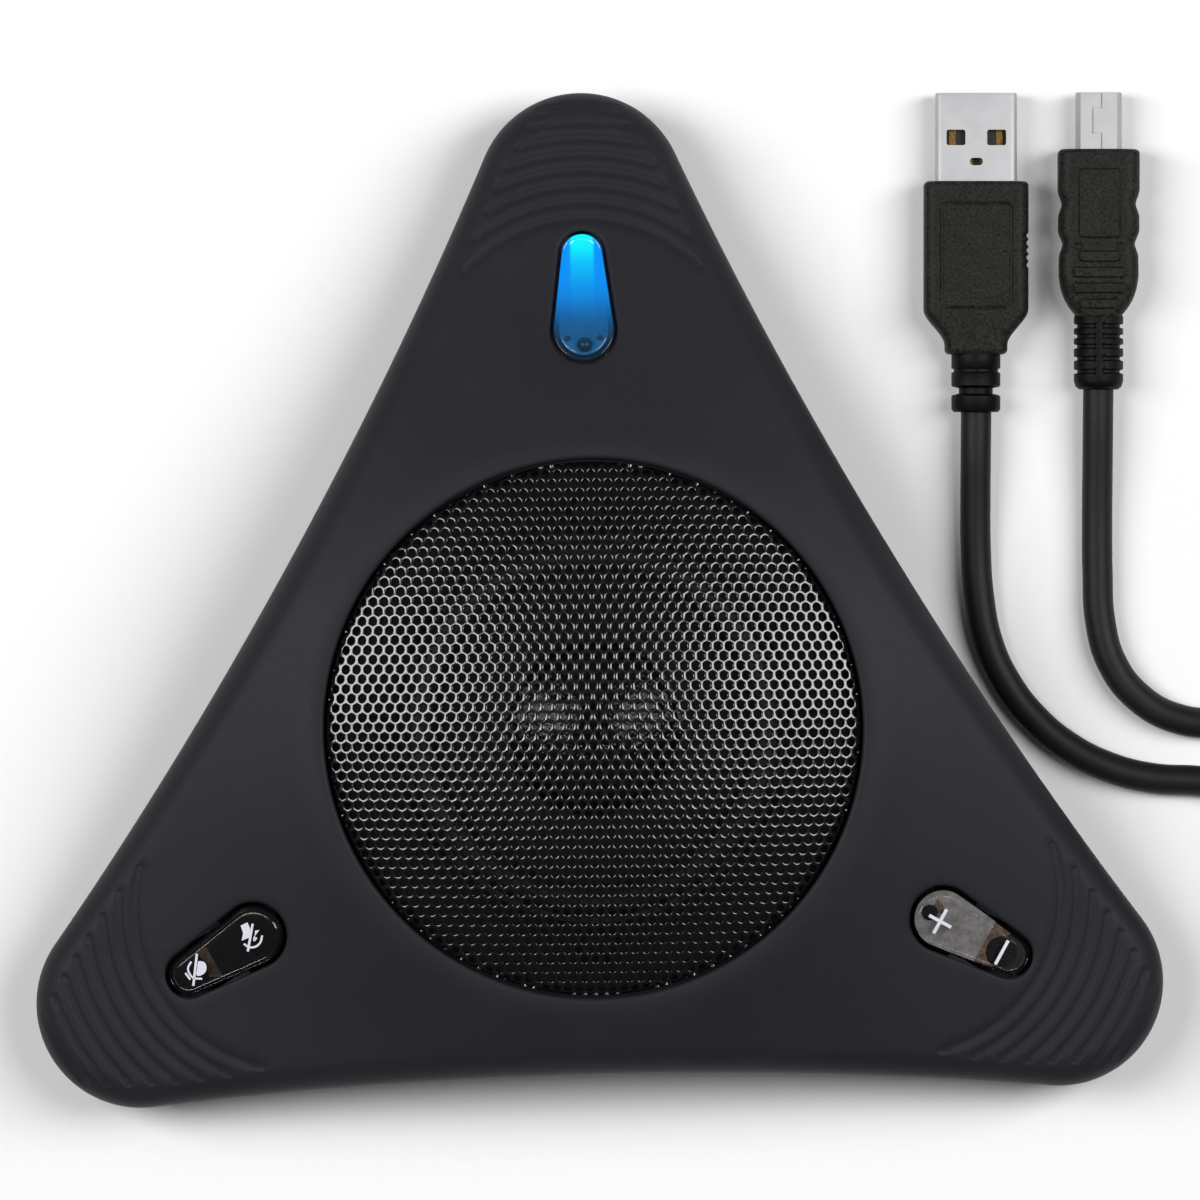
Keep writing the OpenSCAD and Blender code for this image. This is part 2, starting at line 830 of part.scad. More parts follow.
// A round tube along a route: one ring of points at each place, square to the route there
module tube(route, d) {
    last = len(route) - 1;
    rings = [
        for (i = [0 : last])
            let (
                along = route[min(i + 1, last)] - route[max(i - 1, 0)],
                t = along / norm(along),
                side = cross(t, [0, 0, 1]) / norm(cross(t, [0, 0, 1])),
                up = cross(side, t)
            )
            for (j = [0 : cord_sides - 1])
                let (a = 360 * j / cord_sides)
                route[i] + d / 2 * (cos(a) * side + sin(a) * up)
    ];
    walls = [
        for (i = [0 : last - 1], j = [0 : cord_sides - 1])
            let (
                k = (j + 1) % cord_sides,
                a = i * cord_sides + j,
                b = i * cord_sides + k,
                c = a + cord_sides,
                e = b + cord_sides
            )
            each [[a, b, e], [a, e, c]]
    ];
    start = [for (j = [cord_sides - 1 : -1 : 0]) j];
    end = [for (j = [0 : cord_sides - 1]) last * cord_sides + j];
    polyhedron(points = rings, faces = concat(walls, [start, end]));
}

module cord_lead_usb() {
    color(rubber_grey) tube(usb_route, cord_d);
}

module cord_lead_mini() {
    color(rubber_grey) tube(mini_route, cord_d);
}

module cord_coil() {
    color(rubber_grey) translate([coil_centre[0], coil_centre[1], 0])
        ring(coil_mid_r - coil_band, coil_mid_r + coil_band, coil_low, coil_high);
}

// A strap once round the bundle of turns
module cord_tie() {
    color(charcoal) translate([coil_centre[0], coil_centre[1], 0]) rotate([0, 0, -tie_angle / 2])
        rotate_extrude(angle = tie_angle) difference() {
            translate([coil_mid_r - coil_band - tie_t, 0])
                square([2 * (coil_band + tie_t), coil_high + tie_t]);
            translate([coil_mid_r - coil_band, coil_low])
                square([2 * coil_band, coil_high - coil_low]);
        }
}

top_cover();
bottom_cover();
speaker_grille();
foot_ring();
light_lens();
light_holder();
light_board();
light_led();
light_sensor();
mute_key_cap();
mute_key_carrier();
mute_board();
mute_switches();
mute_plunger_inner();
mute_plunger_outer();
volume_key_cap();
volume_key_carrier();
volume_board();
volume_switches();
volume_plunger_inner();
volume_plunger_outer();
light_microphone();
mute_microphone();
volume_microphone();
light_mic_boot();
mute_mic_boot();
volume_mic_boot();
speaker_basket();
speaker_magnet();
speaker_top_plate();
speaker_yoke();
speaker_voice_coil();
speaker_cone();
speaker_dust_cap();
speaker_surround();
speaker_spider();
speaker_gasket();
speaker_screws();
main_board();
audio_chip();
codec_chip();
capacitors();
board_connectors();
usb_socket();
board_screws();
case_screws();
cord_lead_usb();
cord_lead_mini();
cord_coil();
cord_tie();
usb_plug_shell();
usb_plug_tongue();
usb_plug_contacts();
usb_plug_overmould();
usb_plug_relief();
mini_plug_shell();
mini_plug_tongue();
mini_plug_overmould();
mini_plug_relief();
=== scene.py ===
from math import asin, atan2, cos, hypot, pi, radians, sin, sqrt

import bmesh
import bpy
import numpy as np
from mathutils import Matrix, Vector
from mathutils.geometry import delaunay_2d_cdt
from mathutils.kdtree import KDTree


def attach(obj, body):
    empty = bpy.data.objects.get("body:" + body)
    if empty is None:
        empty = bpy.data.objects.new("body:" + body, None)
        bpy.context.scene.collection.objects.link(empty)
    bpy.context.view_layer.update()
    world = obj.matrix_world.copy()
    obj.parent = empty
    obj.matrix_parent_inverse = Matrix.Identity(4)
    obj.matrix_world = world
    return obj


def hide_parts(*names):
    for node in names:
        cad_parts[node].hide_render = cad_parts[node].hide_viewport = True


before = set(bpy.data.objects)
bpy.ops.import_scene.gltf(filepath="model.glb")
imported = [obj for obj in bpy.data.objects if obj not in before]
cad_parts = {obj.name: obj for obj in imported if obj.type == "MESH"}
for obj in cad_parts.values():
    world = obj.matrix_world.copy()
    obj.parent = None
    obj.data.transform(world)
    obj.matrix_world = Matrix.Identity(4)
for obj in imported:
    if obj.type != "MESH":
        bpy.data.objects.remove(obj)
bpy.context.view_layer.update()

# A three-lobed conference speakerphone with its cable. Shapes are worked out in millimetres in the
# frame of the CAD part and scaled to metres when a mesh is made.
MM = 0.001

# Outline of the covers: three round lobes joined by hollow arcs. Lobe 0 has the light and points to +Y,
# lobe 1 has the mute key and lobe 2 the volume key.
LOBES = range(3)
LOBE_AT = 78.0
LOBE_R = 15.3
SIDE_AT = 50.7
SIDE_R = (SIDE_AT**2 + LOBE_AT**2 - LOBE_AT * SIDE_AT - LOBE_R**2) / (LOBE_AT + 2 * LOBE_R - 2 * SIDE_AT)
SIDE_CENTRE = SIDE_AT + SIDE_R
MEET = atan2(SIDE_CENTRE * sin(pi / 3), SIDE_CENTRE / 2 - LOBE_AT)
SIDE_HALF = MEET - pi / 3

# Top surface
RIM_R = 41.5
RIM_Z = 30.0
TIP_Z = 16.0
FALL_END = 94.0
HILL_POWER = 1.5
RIM_BLEND = 1.6
WALL = 2.2
JOINT_Z = 9.0
EDGE_R = 4.2
BAFFLE_LOW = 24.8
BAFFLE_TOP = 26.8
BAFFLE_HOLE = 28.5
RECESS_R = 39.3
RECESS_EDGE = 0.6

# Bottom cover
BASE_Z = 1.2
BASE_INSET = 0.5
BASE_EDGE_R = 2.6
FOOT_IN = 42.5
FOOT_OUT = 47.5
FOOT_SEAT = 2.0
POCKET_R = 2.9
POCKET_Z = 3.6

# Opening for the plug, in the side that faces -Y
MOUTH_HALF = 6.7
MOUTH_LOW = 4.9
MOUTH_HIGH = 14.3
MOUTH_CORNER = 1.4

# Keys and lens
KEY_WIDE_AT = 58.2
KEY_WIDE_R = 4.45
KEY_NARROW_AT = 69.4
KEY_NARROW_R = 3.0
KEY_GAP = 0.45
KEY_PROUD = 0.3
CAP_T = 1.4

# Grip grooves
GROOVE_CENTRE = 51.2
GROOVE_FIRST_R = 23.5
GROOVE_PITCH = 2.36
GROOVE_FIRST_HALF = 17.1
GROOVE_NARROWING = 1.62
GROOVE_COUNT = 8
GROOVE_HALF_W = 0.55
GROOVE_DEPTH = 0.13
GROOVE_SOFT = 0.12

# Screws, bosses, pillars and ears inside the covers, the label's recess and the sound ports
LOBE_SCREW_AT = 79.0
SIDE_SCREW_AT = 38.5
SIDE_SCREW_FROM = 50.0
SCREW_CORE_R = 1.15
SCREW_HOLE_R = 1.6
BOSS_R = 3.1
POST_R = 4.1
BOSS_ABOVE_JOINT = 0.3
LOBE_BOSS_TOP = 16.7
SUNK_IN_BAFFLE = 0.5
SPEAKER_SCREW_AT = 31.8
PILLAR_R = 2.6
PILLAR_H = 3.6
PILLAR_BEVEL = 0.4
PILLAR_ROOF = 0.7
EAR_IN = 3.9
EAR_T = 2.0
EAR_HALF = 2.3
EAR_BELOW = 1.8
EAR_ABOVE = 2.4
KEY_MIDDLE = 63.9
PIVOT_Z = 18.4
FLOOR_Z = 3.4
LABEL_SIZE = (40.0, 22.0)
LABEL_CORNER = 1.5
LABEL_DEPTH = 0.3
PORT_R = 0.8
MIC_Z = 7.2
RECESS_STEPS = 240

# Spacing of the points that fill the top, the keys, the plates on them and the surfaces that hardly show
TOP_SPACING = 1.25
KEY_SPACING = 0.75
PLATE_SPACING = 0.6
HIDDEN_SPACING = 4.0
FLOOR_SPACING = 6.0

# Key edges: distance in from the outline, and how far the top lies below its crown there
KEY_EDGE_R = 0.5
KEY_EDGE_IN = (0, 0.04, 0.1, 0.16, 0.24, 0.4, 0.56, 0.62, 0.7, 0.9, 1.05)
KEY_EDGE_DROP = (0.95, 0.72, 0.58, 0.55, 0.6, 0.42, 0.28, 0.2, 0.22, 0.05, 0)
CAP_TRIM = 0.12
LENS_TRIM = 0.05
LENS_FALL = 0.306
CAP_SKIRT = ((0, CAP_T),)
LENS_SKIRT = ((0, 2.25), (1.7, 2.25), (1.7, 3.4))

# Grille: a domed sheet with an edge that turns down into the recess
GRILLE_R = 38.9
GRILLE_TOP = 36.2
GRILLE_DOME_R = 124.8
GRILLE_BEND = 1.3
GRILLE_T = 0.75
HOLE_PITCH = 1.66
HOLE_R = 0.59
RIM_OUT = 0.69
RIM_SINK = 0.046
HOLES_TO = 40.0
# Rows and columns of the pattern to each side of the middle
PATTERN_ROWS = 34
PATTERN_COLUMNS = 30
PATTERN_TURN = -0.8
PATTERN_SHIFT = 0.44

# Loudspeaker's spider (edges, end of the flat collar, start of the flat rim, waves) and dust cap
SPIDER_IN, SPIDER_OUT = 12.9, 23.6
SPIDER_COLLAR, SPIDER_RIM = 14.9, 22.9
SPIDER_WAVES, SPIDER_WAVE = 4, 0.7
SPIDER_Z, SPIDER_T = 16.1, 0.35
DUST_CAP_R = 13.0
CAP_DOME_R = 23.1
CAP_TOP_Z = 22.2

# Strap round the coil: its place from the coil's centre, in the upright plane through the coil
COIL_IN = 16.6
COIL_OUT = 36.0
TIE_LOW = 0.5
TIE_HIGH = 9.45
TIE_T = 0.45
TIE_W = 8.0
TIE_CORNER = 2.0
TAB_IN = 21.0
TAB_OUT = 32.0

# Plugs: each tip's place on the table, and lengths back from it
PLUG_TURN = -1.4
PLUG_T = 8.0
PLUG_Z = 4.0
GRIP_END_R = 0.7
USB_TIP = (58.7, 92.1)
USB_OUT = 13.0
USB_BODY = 25.5
USB_W = 15.4
USB_NECK_W = 9.2
USB_NECK_H = 7.4
USB_SHOULDER = (31.8, 37.2)
USB_PANEL_AT = 24.0
USB_PANEL = (10.3, 15.4)
USB_CORNER = 1.7
USB_STEP = 0.2
NOTCHES_FROM = 20.5
NOTCHES_TO = 25.9
NOTCH_PITCH = 1.08
USB_RELIEF = ((38.2, 3.5), (38.6, 3.62), (43.1, 3.62), (43.3, 3.4), (43.5, 2.5), (44.3, 2.5), (44.5, 3.4),
              (44.7, 3.62), (46.6, 3.62), (47.0, 3.3))
USB_SLOT = 40.9
# Metal shells: half width, half height and corner outside and inside, round or straight corners, and depth
USB_SHELL = ((6.0, 2.25, 0.9), (5.65, 1.9, 0.6), True, 12.6)
MINI_SHELL = ((3.4, 1.5, (0.7, 0.9)), (3.1, 1.2, (0.6, 0.8)), False, 8.0)
# Windows of the USB shell: centre, size, corner, steps in a corner, and the height that the cut starts from
USB_WINDOWS = (((-3.0, 6.55), (2.8, 2.3), 0.35, 4, -1.0), ((3.0, 6.55), (2.8, 2.3), 0.35, 4, -1.0),
               ((0, 10.1), (1.9, 1.1), 0.5, 5, PLUG_Z))
# The mini shell's seam, a narrow slot that steps sideways and back: centre and size of each run, and depth
MINI_SEAM = (((0.4, 1.15), (0.16, 2.5)), ((-0.25, 2.35), (1.46, 0.16)), ((-0.9, 4.2), (0.16, 3.86)),
             ((-0.25, 6.05), (1.46, 0.16)), ((0.4, 7.3), (0.16, 2.66)))
SEAM_DEPTH = 0.22
MINI_TIP = (76.8, 91.8)
MINI_OUT = 8.4
MINI_BODY = 25.0
MINI_WIDTHS = ((8.4, 6.0), (14.6, 6.0), (16.5, 5.35), (18.2, 5.95), (20.6, 5.95), (22.4, 5.2), (24.0, 5.8),
               (27.0, 5.85), (28.8, 5.6), (30.4, 5.1), (31.8, 4.3), (32.8, 3.5), (33.4, 2.8))
MINI_PANEL_AT = 16.45
MINI_PANEL = (6.0, 10.1)
MINI_CORNER = 1.9
MINI_STEP = 0.12
MINI_DOT = (3.0, 22.8)
MINI_BARS = ((23.5, 25.0, 2.95), (25.9, 27.3, 3.85), (28.2, 29.6, 3.85), (30.6, 31.9, 2.95))
MINI_RELIEF = ((32.6, 3.4), (33.2, 3.65), (42.6, 3.65), (43.4, 3.4), (43.8, 2.9))
MINI_SLOTS = (34.5, 36.0, 37.5, 39.3, 41.2)

# Marks on the keys and parts seen through them, as (across, along) points in the key's lobe
PLUS_AT = (0.5, 58.0)
PLUS_ARMS = (3.7, 4.0)
MINUS_AT = (0.2, 68.2)
SENSOR_AT = (0.1, 56.05)
MINUS_LONG = 3.96
MARK_W = 0.48
MUTE_HORN = [(2.22, 59.03), (2.11, 57.92), (0.9, 58.09), (0.07, 58.88), (0.25, 60.08), (1.08, 59.3)]
MUTE_BAND = [(2.7, 65.05), (-2.8, 65.25), (-1.9, 67.0), (0.2, 66.4), (2.2, 66.7)]

# Light from the lens: half width of its bright middle and of the blend round that, the depth where the
# glow is full and where it ends, and the colours from the wide end to the narrow end
LENS_BRIGHT = (1.5, 1.9)
LENS_GLOW = (1.1, 1.6)
LENS_MIDDLE = ((0.0, (24, 50, 74)), (0.2, (28, 76, 112)), (0.33, (20, 104, 164)), (0.45, (8, 128, 208)),
               (0.6, (0, 154, 240)), (0.78, (0, 196, 253)), (0.88, (0, 238, 255)), (1.0, (20, 250, 255)))
LENS_SIDE = ((0.0, (24, 46, 68)), (0.2, (28, 74, 110)), (0.33, (20, 100, 160)), (0.45, (8, 122, 206)),
             (0.6, (0, 142, 242)), (0.75, (0, 146, 255)), (0.9, (0, 150, 255)), (1.0, (0, 178, 255)))

# Tone of the surroundings, and the soft lights to the left and right, in degrees and metres
WORLD_TONE = (0.06, 0.06, 0.06)
LIGHT_TILT = 35.0
LIGHT_LIFT = 9.0
LIGHT_FAR = 1.2
LIGHT_SIZE = (0.42, 0.9)
LIGHT_POWER = 10.0


# ---- camera and cord

# The camera looks straight down from far away, turned with the object as it lies
CAMERA_AT = (1.42, 18.7)
CAMERA_TURN = -1.383
CAMERA_HEIGHT = 2000.0
VIEW_SIDE = 176.6
VIEW_Z = 10.0
SENSOR = 36.0

USB_ROUTE = [
    (57.6, 45.1, 4), (57.4, 39, 3.8), (57.2, 32, 3), (57.1, 25, 2.4), (57.4, 18, 2.3),
    (58.6, 11, 2.3), (61.2, 5, 2.3), (65, -0.2, 2.3), (70, -4.6, 2.3), (76, -7.8, 2.3),
    (82.5, -9.6, 2.3), (89.5, -10.2, 2.3), (96, -11.6, 2.3), (101.6, -14.6, 2.4),
    (106.4, -19.6, 2.5), (110.2, -24.8, 2.6),
]
MINI_ROUTE = [
    (75.7, 48, 4), (75.5, 42, 3.8), (75.3, 35, 3), (75.1, 28, 2.4), (75, 21, 2.3),
    (75.2, 14, 2.3), (76.8, 7.6, 2.3), (80.6, 2.4, 2.3), (86, -0.8, 2.3), (92.4, -1.6, 2.6),
    (98.6, -0.4, 4), (103.6, 3, 6.2), (107.4, 7.6, 7.1), (110.2, 12.6, 7.1),
]
CORD_D = 4.5
COIL_CENTRE = (138.0, -6.0)
COIL_OUTER_R = 33.5
COIL_PITCH = 4.6
COIL_LOW_Z = 2.65
COIL_LANES = 4
COIL_START = 220.0
SHIFT_FROM = 290.0
SHIFT_LONG = 70.0
COIL_LONG = 2800.0
COIL_STEP = 15.0
RISE_INWARD = 1.7


def link(obj):
    bpy.context.scene.collection.objects.link(obj)
    return obj


def make_camera():
    data = bpy.data.cameras.new("camera")
    data.sensor_width = SENSOR
    data.lens = SENSOR * (CAMERA_HEIGHT - VIEW_Z) / VIEW_SIDE
    data.clip_start = 0.05
    data.clip_end = 20
    camera = link(bpy.data.objects.new("camera", data))
    camera.location = (CAMERA_AT[0] * MM, CAMERA_AT[1] * MM, CAMERA_HEIGHT * MM)
    camera.rotation_euler = (0, 0, radians(CAMERA_TURN))
    bpy.context.scene.camera = camera


def coil_points():
    """Two layers of turns: lane by lane inwards on the table, up one diameter, and outwards again."""
    points = []
    for step in range(int(COIL_LONG / COIL_STEP) + 1):
        turned = step * COIL_STEP
        shifts = 0.0
        for k in range(2 * COIL_LANES - 1):
            part = min(1.0, max(0.0, (turned - SHIFT_FROM - 360 * k) / SHIFT_LONG))
            shifts += part * part * (3 - 2 * part)
        rise = min(1.0, max(0.0, shifts - (COIL_LANES - 1)))
        lane = min(shifts, COIL_LANES - 1) - max(0.0, shifts - COIL_LANES)
        r = COIL_OUTER_R - COIL_PITCH * lane - RISE_INWARD * sin(pi * rise)
        a = radians(COIL_START + turned)
        points.append((COIL_CENTRE[0] + r * cos(a), COIL_CENTRE[1] + r * sin(a),
                       COIL_LOW_Z + CORD_D * rise))
    return points


def make_cord():
    route = MINI_ROUTE + coil_points()[::-1] + USB_ROUTE[::-1]
    curve = bpy.data.curves.new("cord", "CURVE")
    curve.dimensions = "3D"
    curve.bevel_depth = CORD_D / 2 * MM
    curve.bevel_resolution = 5
    curve.resolution_u = 6
    curve.use_fill_caps = True
    spline = curve.splines.new("BEZIER")
    spline.bezier_points.add(len(route) - 1)
    for knot, place in zip(spline.bezier_points, route):
        knot.co = [v * MM for v in place]
        knot.handle_left_type = "AUTO"
        knot.handle_right_type = "AUTO"
    return link(bpy.data.objects.new("cord", curve))


# ---- mesh helpers


class Shell:
    """Points in millimetres and faces, gathered surface by surface and welded when the mesh is made."""

    def __init__(self):
        self.points = []
        self.faces = []

    def add(self, points, faces):
        start = len(self.points)
        self.points += [tuple(float(v) for v in p) for p in points]
        self.faces += [tuple(int(i) + start for i in face) for face in faces]

    def rows(self, rows, keep=None):
        """Quads between neighbouring rows of points. keep, if given, says which columns have a quad."""
        count = len(rows[0])
        columns = [i for i in range(count) if keep is None or keep[i]]
        faces = [(r * count + i, r * count + (i + 1) % count,
                  (r + 1) * count + (i + 1) % count, (r + 1) * count + i)
                 for r in range(len(rows) - 1) for i in columns]
        self.add([p for row in rows for p in row], faces)

    def capped(self, rows):
        """A tube through rows, with a flat face on each end."""
        self.rows(rows)
        for row in (rows[0], rows[-1]):
            self.add(row, [tuple(range(len(row)))])

    def fan(self, row, middle):
        self.add(list(row) + [middle], [(i, (i + 1) % len(row), len(row)) for i in range(len(row))])

    def lathe(self, profile, centre=(0.0, 0.0), steps=120, closed=True):
        """Turn a profile of (r, z) points about an upright axis. A point on the axis ends it in a fan."""
        turns = [2 * pi * i / steps for i in range(steps)]
        rings = [[(centre[0] + r * cos(a), centre[1] + r * sin(a), z) for a in turns]
                 for r, z in profile if r > 0]
        self.rows(rings + rings[:1] if closed else rings)
        for (r, z), ring in ((profile[0], rings[0]), (profile[-1], rings[-1])):
            if r == 0:
                self.fan(ring, (centre[0], centre[1], z))

    def build(self, name, crease=38.0):
        mesh = bpy.data.meshes.new(name)
        mesh.from_pydata([[v * MM for v in p] for p in self.points], [], self.faces)
        work = bmesh.new()
        work.from_mesh(mesh)
        bmesh.ops.remove_doubles(work, verts=work.verts, dist=0.002 * MM)
        bmesh.ops.recalc_face_normals(work, faces=work.faces)
        work.to_mesh(mesh)
        work.free()
        mesh.shade_smooth()
        mesh.set_sharp_from_angle(angle=radians(crease))
        return link(bpy.data.objects.new(name, mesh))


def arc(centre, r, start, end, steps):
    """Points on an arc, angles in radians from +X."""
    return [(centre[0] + r * cos(a), centre[1] + r * sin(a)) for a in np.linspace(start, end, steps + 1)]


def lifted(loop, z):
    """A plan loop with a height for each point, from a function of x and y or a single number."""
    flat = np.array(loop)
    heights = z(flat[:, 0], flat[:, 1]) if callable(z) else np.full(len(flat), z)
    return np.column_stack([flat, heights])


def fill(loops, keep, spacing):
    """Triangles over the part of the plan that keep accepts. Closed loops stay as edges, and an even net
    of points fills the space between them."""
    points = [p for loop in loops for p in loop]
    edges = []
    start = 0
    for loop in loops:
        edges += [(start + i, start + (i + 1) % len(loop)) for i in range(len(loop))]
        start += len(loop)
    tree = KDTree(len(points))
    for i, p in enumerate(points):
        tree.insert((p[0], p[1], 0), i)
    tree.balance()
    low, high = np.min(points, axis=0), np.max(points, axis=0)
    for row, y in enumerate(np.arange(low[1], high[1], spacing * sqrt(0.75))):
        xs = np.arange(low[0] + (row % 2) * spacing / 2, high[0], spacing)
        for x in xs[keep(xs, np.full(len(xs), y))]:
            if tree.find((x, y, 0))[2] > 0.65 * spacing:
                points.append((x, y))
    found = delaunay_2d_cdt([Vector((p[0], p[1])) for p in points], edges, [], 0, 1e-6, False)
    flat = np.array([tuple(v) for v in found[0]])
    triangles = np.array(found[2])
    middle = flat[triangles].mean(axis=1)
    return flat, triangles[keep(middle[:, 0], middle[:, 1])]


def rounding(inward, radius):
    """How far a rounded edge lies below its surface, at a distance inward from the edge."""
    left = np.clip(radius - inward, 0, radius)
    return radius - np.sqrt(radius**2 - left**2)


def round_steps(radius, steps):
    """Distances inward that divide a rounded edge into even steps of angle."""
    return [radius * (1 - cos(pi / 2 * i / steps)) for i in range(steps + 1)]


def in_lobe(points, lobe):
    """Turn plan points or solid points from lobe 0 to another lobe."""
    turn = lobe * 2 * pi / 3
    c, s = cos(turn), sin(turn)
    return [(p[0] * c - p[1] * s, p[0] * s + p[1] * c, *p[2:]) for p in points]


# ---- plan of the covers


def fold(x, y):
    """Where each point lies across and along the axis of its nearest lobe."""
    turn = np.round(np.arctan2(-x, y) / (2 * pi / 3)) * 2 * pi / 3
    return x * np.cos(turn) + y * np.sin(turn), y * np.cos(turn) - x * np.sin(turn)


def outline_inset(x, y):
    """Distance in from the covers' outline."""
    across, along = fold(x, y)
    across = np.abs(across)
    from_lobe = LOBE_R - np.hypot(across, along - LOBE_AT)
    from_side = np.hypot(across - SIDE_CENTRE * sin(pi / 3), along - SIDE_CENTRE / 2) - SIDE_R
    return np.where(np.arctan2(across, along - LOBE_AT) < MEET, from_lobe, from_side)


def key_inset(across, along):
    """Distance in from a key's outline, which is the hull of a wide and a narrow circle."""
    length = KEY_NARROW_AT - KEY_WIDE_AT
    lean = (KEY_WIDE_R - KEY_NARROW_R) / length
    rise = sqrt(1 - lean**2)
    u, v = np.abs(across), along - KEY_WIDE_AT
    place = v * rise - u * lean
    return np.where(place < 0, KEY_WIDE_R - np.hypot(u, v),
                    np.where(place > length * rise, KEY_NARROW_R - np.hypot(u, v - length),
                             KEY_WIDE_R - u * rise - v * lean))


def key_loop(grow, step=0.45):
    """A key's outline in lobe 0, moved outwards by grow."""
    tilt = asin((KEY_WIDE_R - KEY_NARROW_R) / (KEY_NARROW_AT - KEY_WIDE_AT))
    narrow_steps = round(pi * (KEY_NARROW_R + 0.5) / step)
    wide_steps = round(pi * (KEY_WIDE_R + 0.5) / step)
    straight = round((KEY_NARROW_AT - KEY_WIDE_AT) / step)
    narrow = arc((0, KEY_NARROW_AT), KEY_NARROW_R + grow, tilt, pi - tilt, narrow_steps)
    wide = arc((0, KEY_WIDE_AT), KEY_WIDE_R + grow, pi - tilt, 2 * pi + tilt, wide_steps)

    def between(a, b):
        return [(a[0] + (b[0] - a[0]) * i / straight, a[1] + (b[1] - a[1]) * i / straight)
                for i in range(1, straight)]

    return narrow + between(narrow[-1], wide[0]) + wide + between(wide[-1], narrow[0])


def mouth_turns():
    """Turns about the hollow side's centre: even steps, and columns that fit the plug opening."""
    corner = [MOUTH_HALF - MOUTH_CORNER * (1 - sin(pi / 2 * i / 6)) for i in range(7)]
    flat = np.linspace(0, corner[0], 6)[:-1]
    half = [asin(x / SIDE_R) for x in list(flat) + corner]
    outer = np.linspace(half[-1], SIDE_HALF, 36)[1:-1]
    positive = half + list(outer)
    return sorted([-t for t in positive[1:]] + positive, reverse=True)


SIDE_TURNS = mouth_turns()
LOBE_STEPS = 52


def outline(inset):
    """The covers' outline moved inwards, with points in the same columns at any inset."""
    points = []
    for lobe in LOBES:
        axis = pi / 2 + lobe * 2 * pi / 3
        side = axis + pi / 3
        points += arc((LOBE_AT * cos(axis), LOBE_AT * sin(axis)), LOBE_R - inset,
                      axis - MEET, axis + MEET, LOBE_STEPS)
        middle = (SIDE_CENTRE * cos(side), SIDE_CENTRE * sin(side))
        points += [(middle[0] + (SIDE_R + inset) * cos(side + pi + t),
                    middle[1] + (SIDE_R + inset) * sin(side + pi + t)) for t in SIDE_TURNS]
    return points


def mouth_columns():
    """For each column of the outline, whether its quad is in the plug opening, and how far inside."""
    loop = outline(0)
    inside = [MOUTH_HALF - abs(x) if y < -SIDE_AT + 1 else -1.0 for x, y in loop]
    open_quad = [inside[i] > -1e-6 and inside[(i + 1) % len(loop)] > -1e-6 for i in range(len(loop))]
    return np.array(inside), np.array(open_quad)


MOUTH_INSIDE, MOUTH_QUAD = mouth_columns()


def hill(r):
    """Height of the top surface: flat inside the rim, and a hollow fall towards the lobes."""
    span = FALL_END - RIM_R
    steep = (RIM_Z - TIP_Z) * HILL_POWER / span
    bend = RIM_Z - steep * np.clip(r - RIM_R + RIM_BLEND, 0, None)**2 / (4 * RIM_BLEND)
    fall = TIP_Z + (RIM_Z - TIP_Z) * (np.clip(FALL_END - r, 0, span) / span)**HILL_POWER
    return np.where(r < RIM_R + RIM_BLEND, bend, fall)


def under_hill(depth):
    """Height of a surface at a depth under the top surface, as a function of x and y."""
    return lambda x, y: hill(np.hypot(x, y)) - depth


def groove_drop(across, along):
    """Depth of the grip grooves, with soft walls and round ends."""
    rho = np.hypot(across, along - GROOVE_CENTRE)
    i = np.clip(np.round((rho - GROOVE_FIRST_R) / GROOVE_PITCH), 0, GROOVE_COUNT - 1)
    r = GROOVE_FIRST_R + GROOVE_PITCH * i
    half = np.arcsin((GROOVE_FIRST_HALF - GROOVE_NARROWING * i) / r)
    past_end = np.hypot(np.abs(across) - r * np.sin(half), along - GROOVE_CENTRE - r * np.cos(half))
    turn = np.arctan2(np.abs(across), along - GROOVE_CENTRE)
    off = np.where(turn < half, np.abs(rho - r), past_end)
    part = np.clip((GROOVE_HALF_W + GROOVE_SOFT - off) / (2 * GROOVE_SOFT), 0, 1)
    return GROOVE_DEPTH * part * part * (3 - 2 * part)


def groove_loop(i, off):
    """The stadium shape at a distance off from a groove's middle line, in lobe 0."""
    r = GROOVE_FIRST_R + GROOVE_PITCH * i
    half = asin((GROOVE_FIRST_HALF - GROOVE_NARROWING * i) / r)
    centre = (0, GROOVE_CENTRE)
    right, left = pi / 2 - half, pi / 2 + half
    steps = round(2 * half * r / 1.0)
    out = arc(centre, r + off, right, left, steps)
    back = arc(centre, r - off, left, right, steps)
    ends = [(r * cos(a), GROOVE_CENTRE + r * sin(a)) for a in (left, right)]
    first = arc(ends[0], off, left, left + pi, 6)[1:-1]
    last = arc(ends[1], off, right + pi, right + 2 * pi, 6)[1:-1]
    return out + first + back + last


def cover_top(x, y):
    """Height of the top cover's outer surface."""
    across, along = fold(x, y)
    r = np.hypot(x, y)
    z = hill(r) - rounding(outline_inset(x, y), EDGE_R) - rounding(r - RECESS_R, RECESS_EDGE)
    return z - rounding(-key_inset(across, along) - KEY_GAP, KEY_EDGE_R) - groove_drop(across, along)


def circle(r, steps, centre=(0.0, 0.0)):
    return arc(centre, r, 0, 2 * pi, steps)[:-1]


def block(shell, low, high):
    """A box shell between two corners."""
    corners = [(x, y, z) for z in (low[2], high[2]) for y in (low[1], high[1]) for x in (low[0], high[0])]
    shell.add(corners, [(0, 1, 3, 2), (4, 6, 7, 5), (0, 4, 5, 1), (2, 3, 7, 6), (0, 2, 6, 4), (1, 5, 7, 3)])


def tube(shell, centre, r_in, r_out, low, high):
    shell.lathe([(r_in, low), (r_out, low), (r_out, high), (r_in, high)], centre, 40)


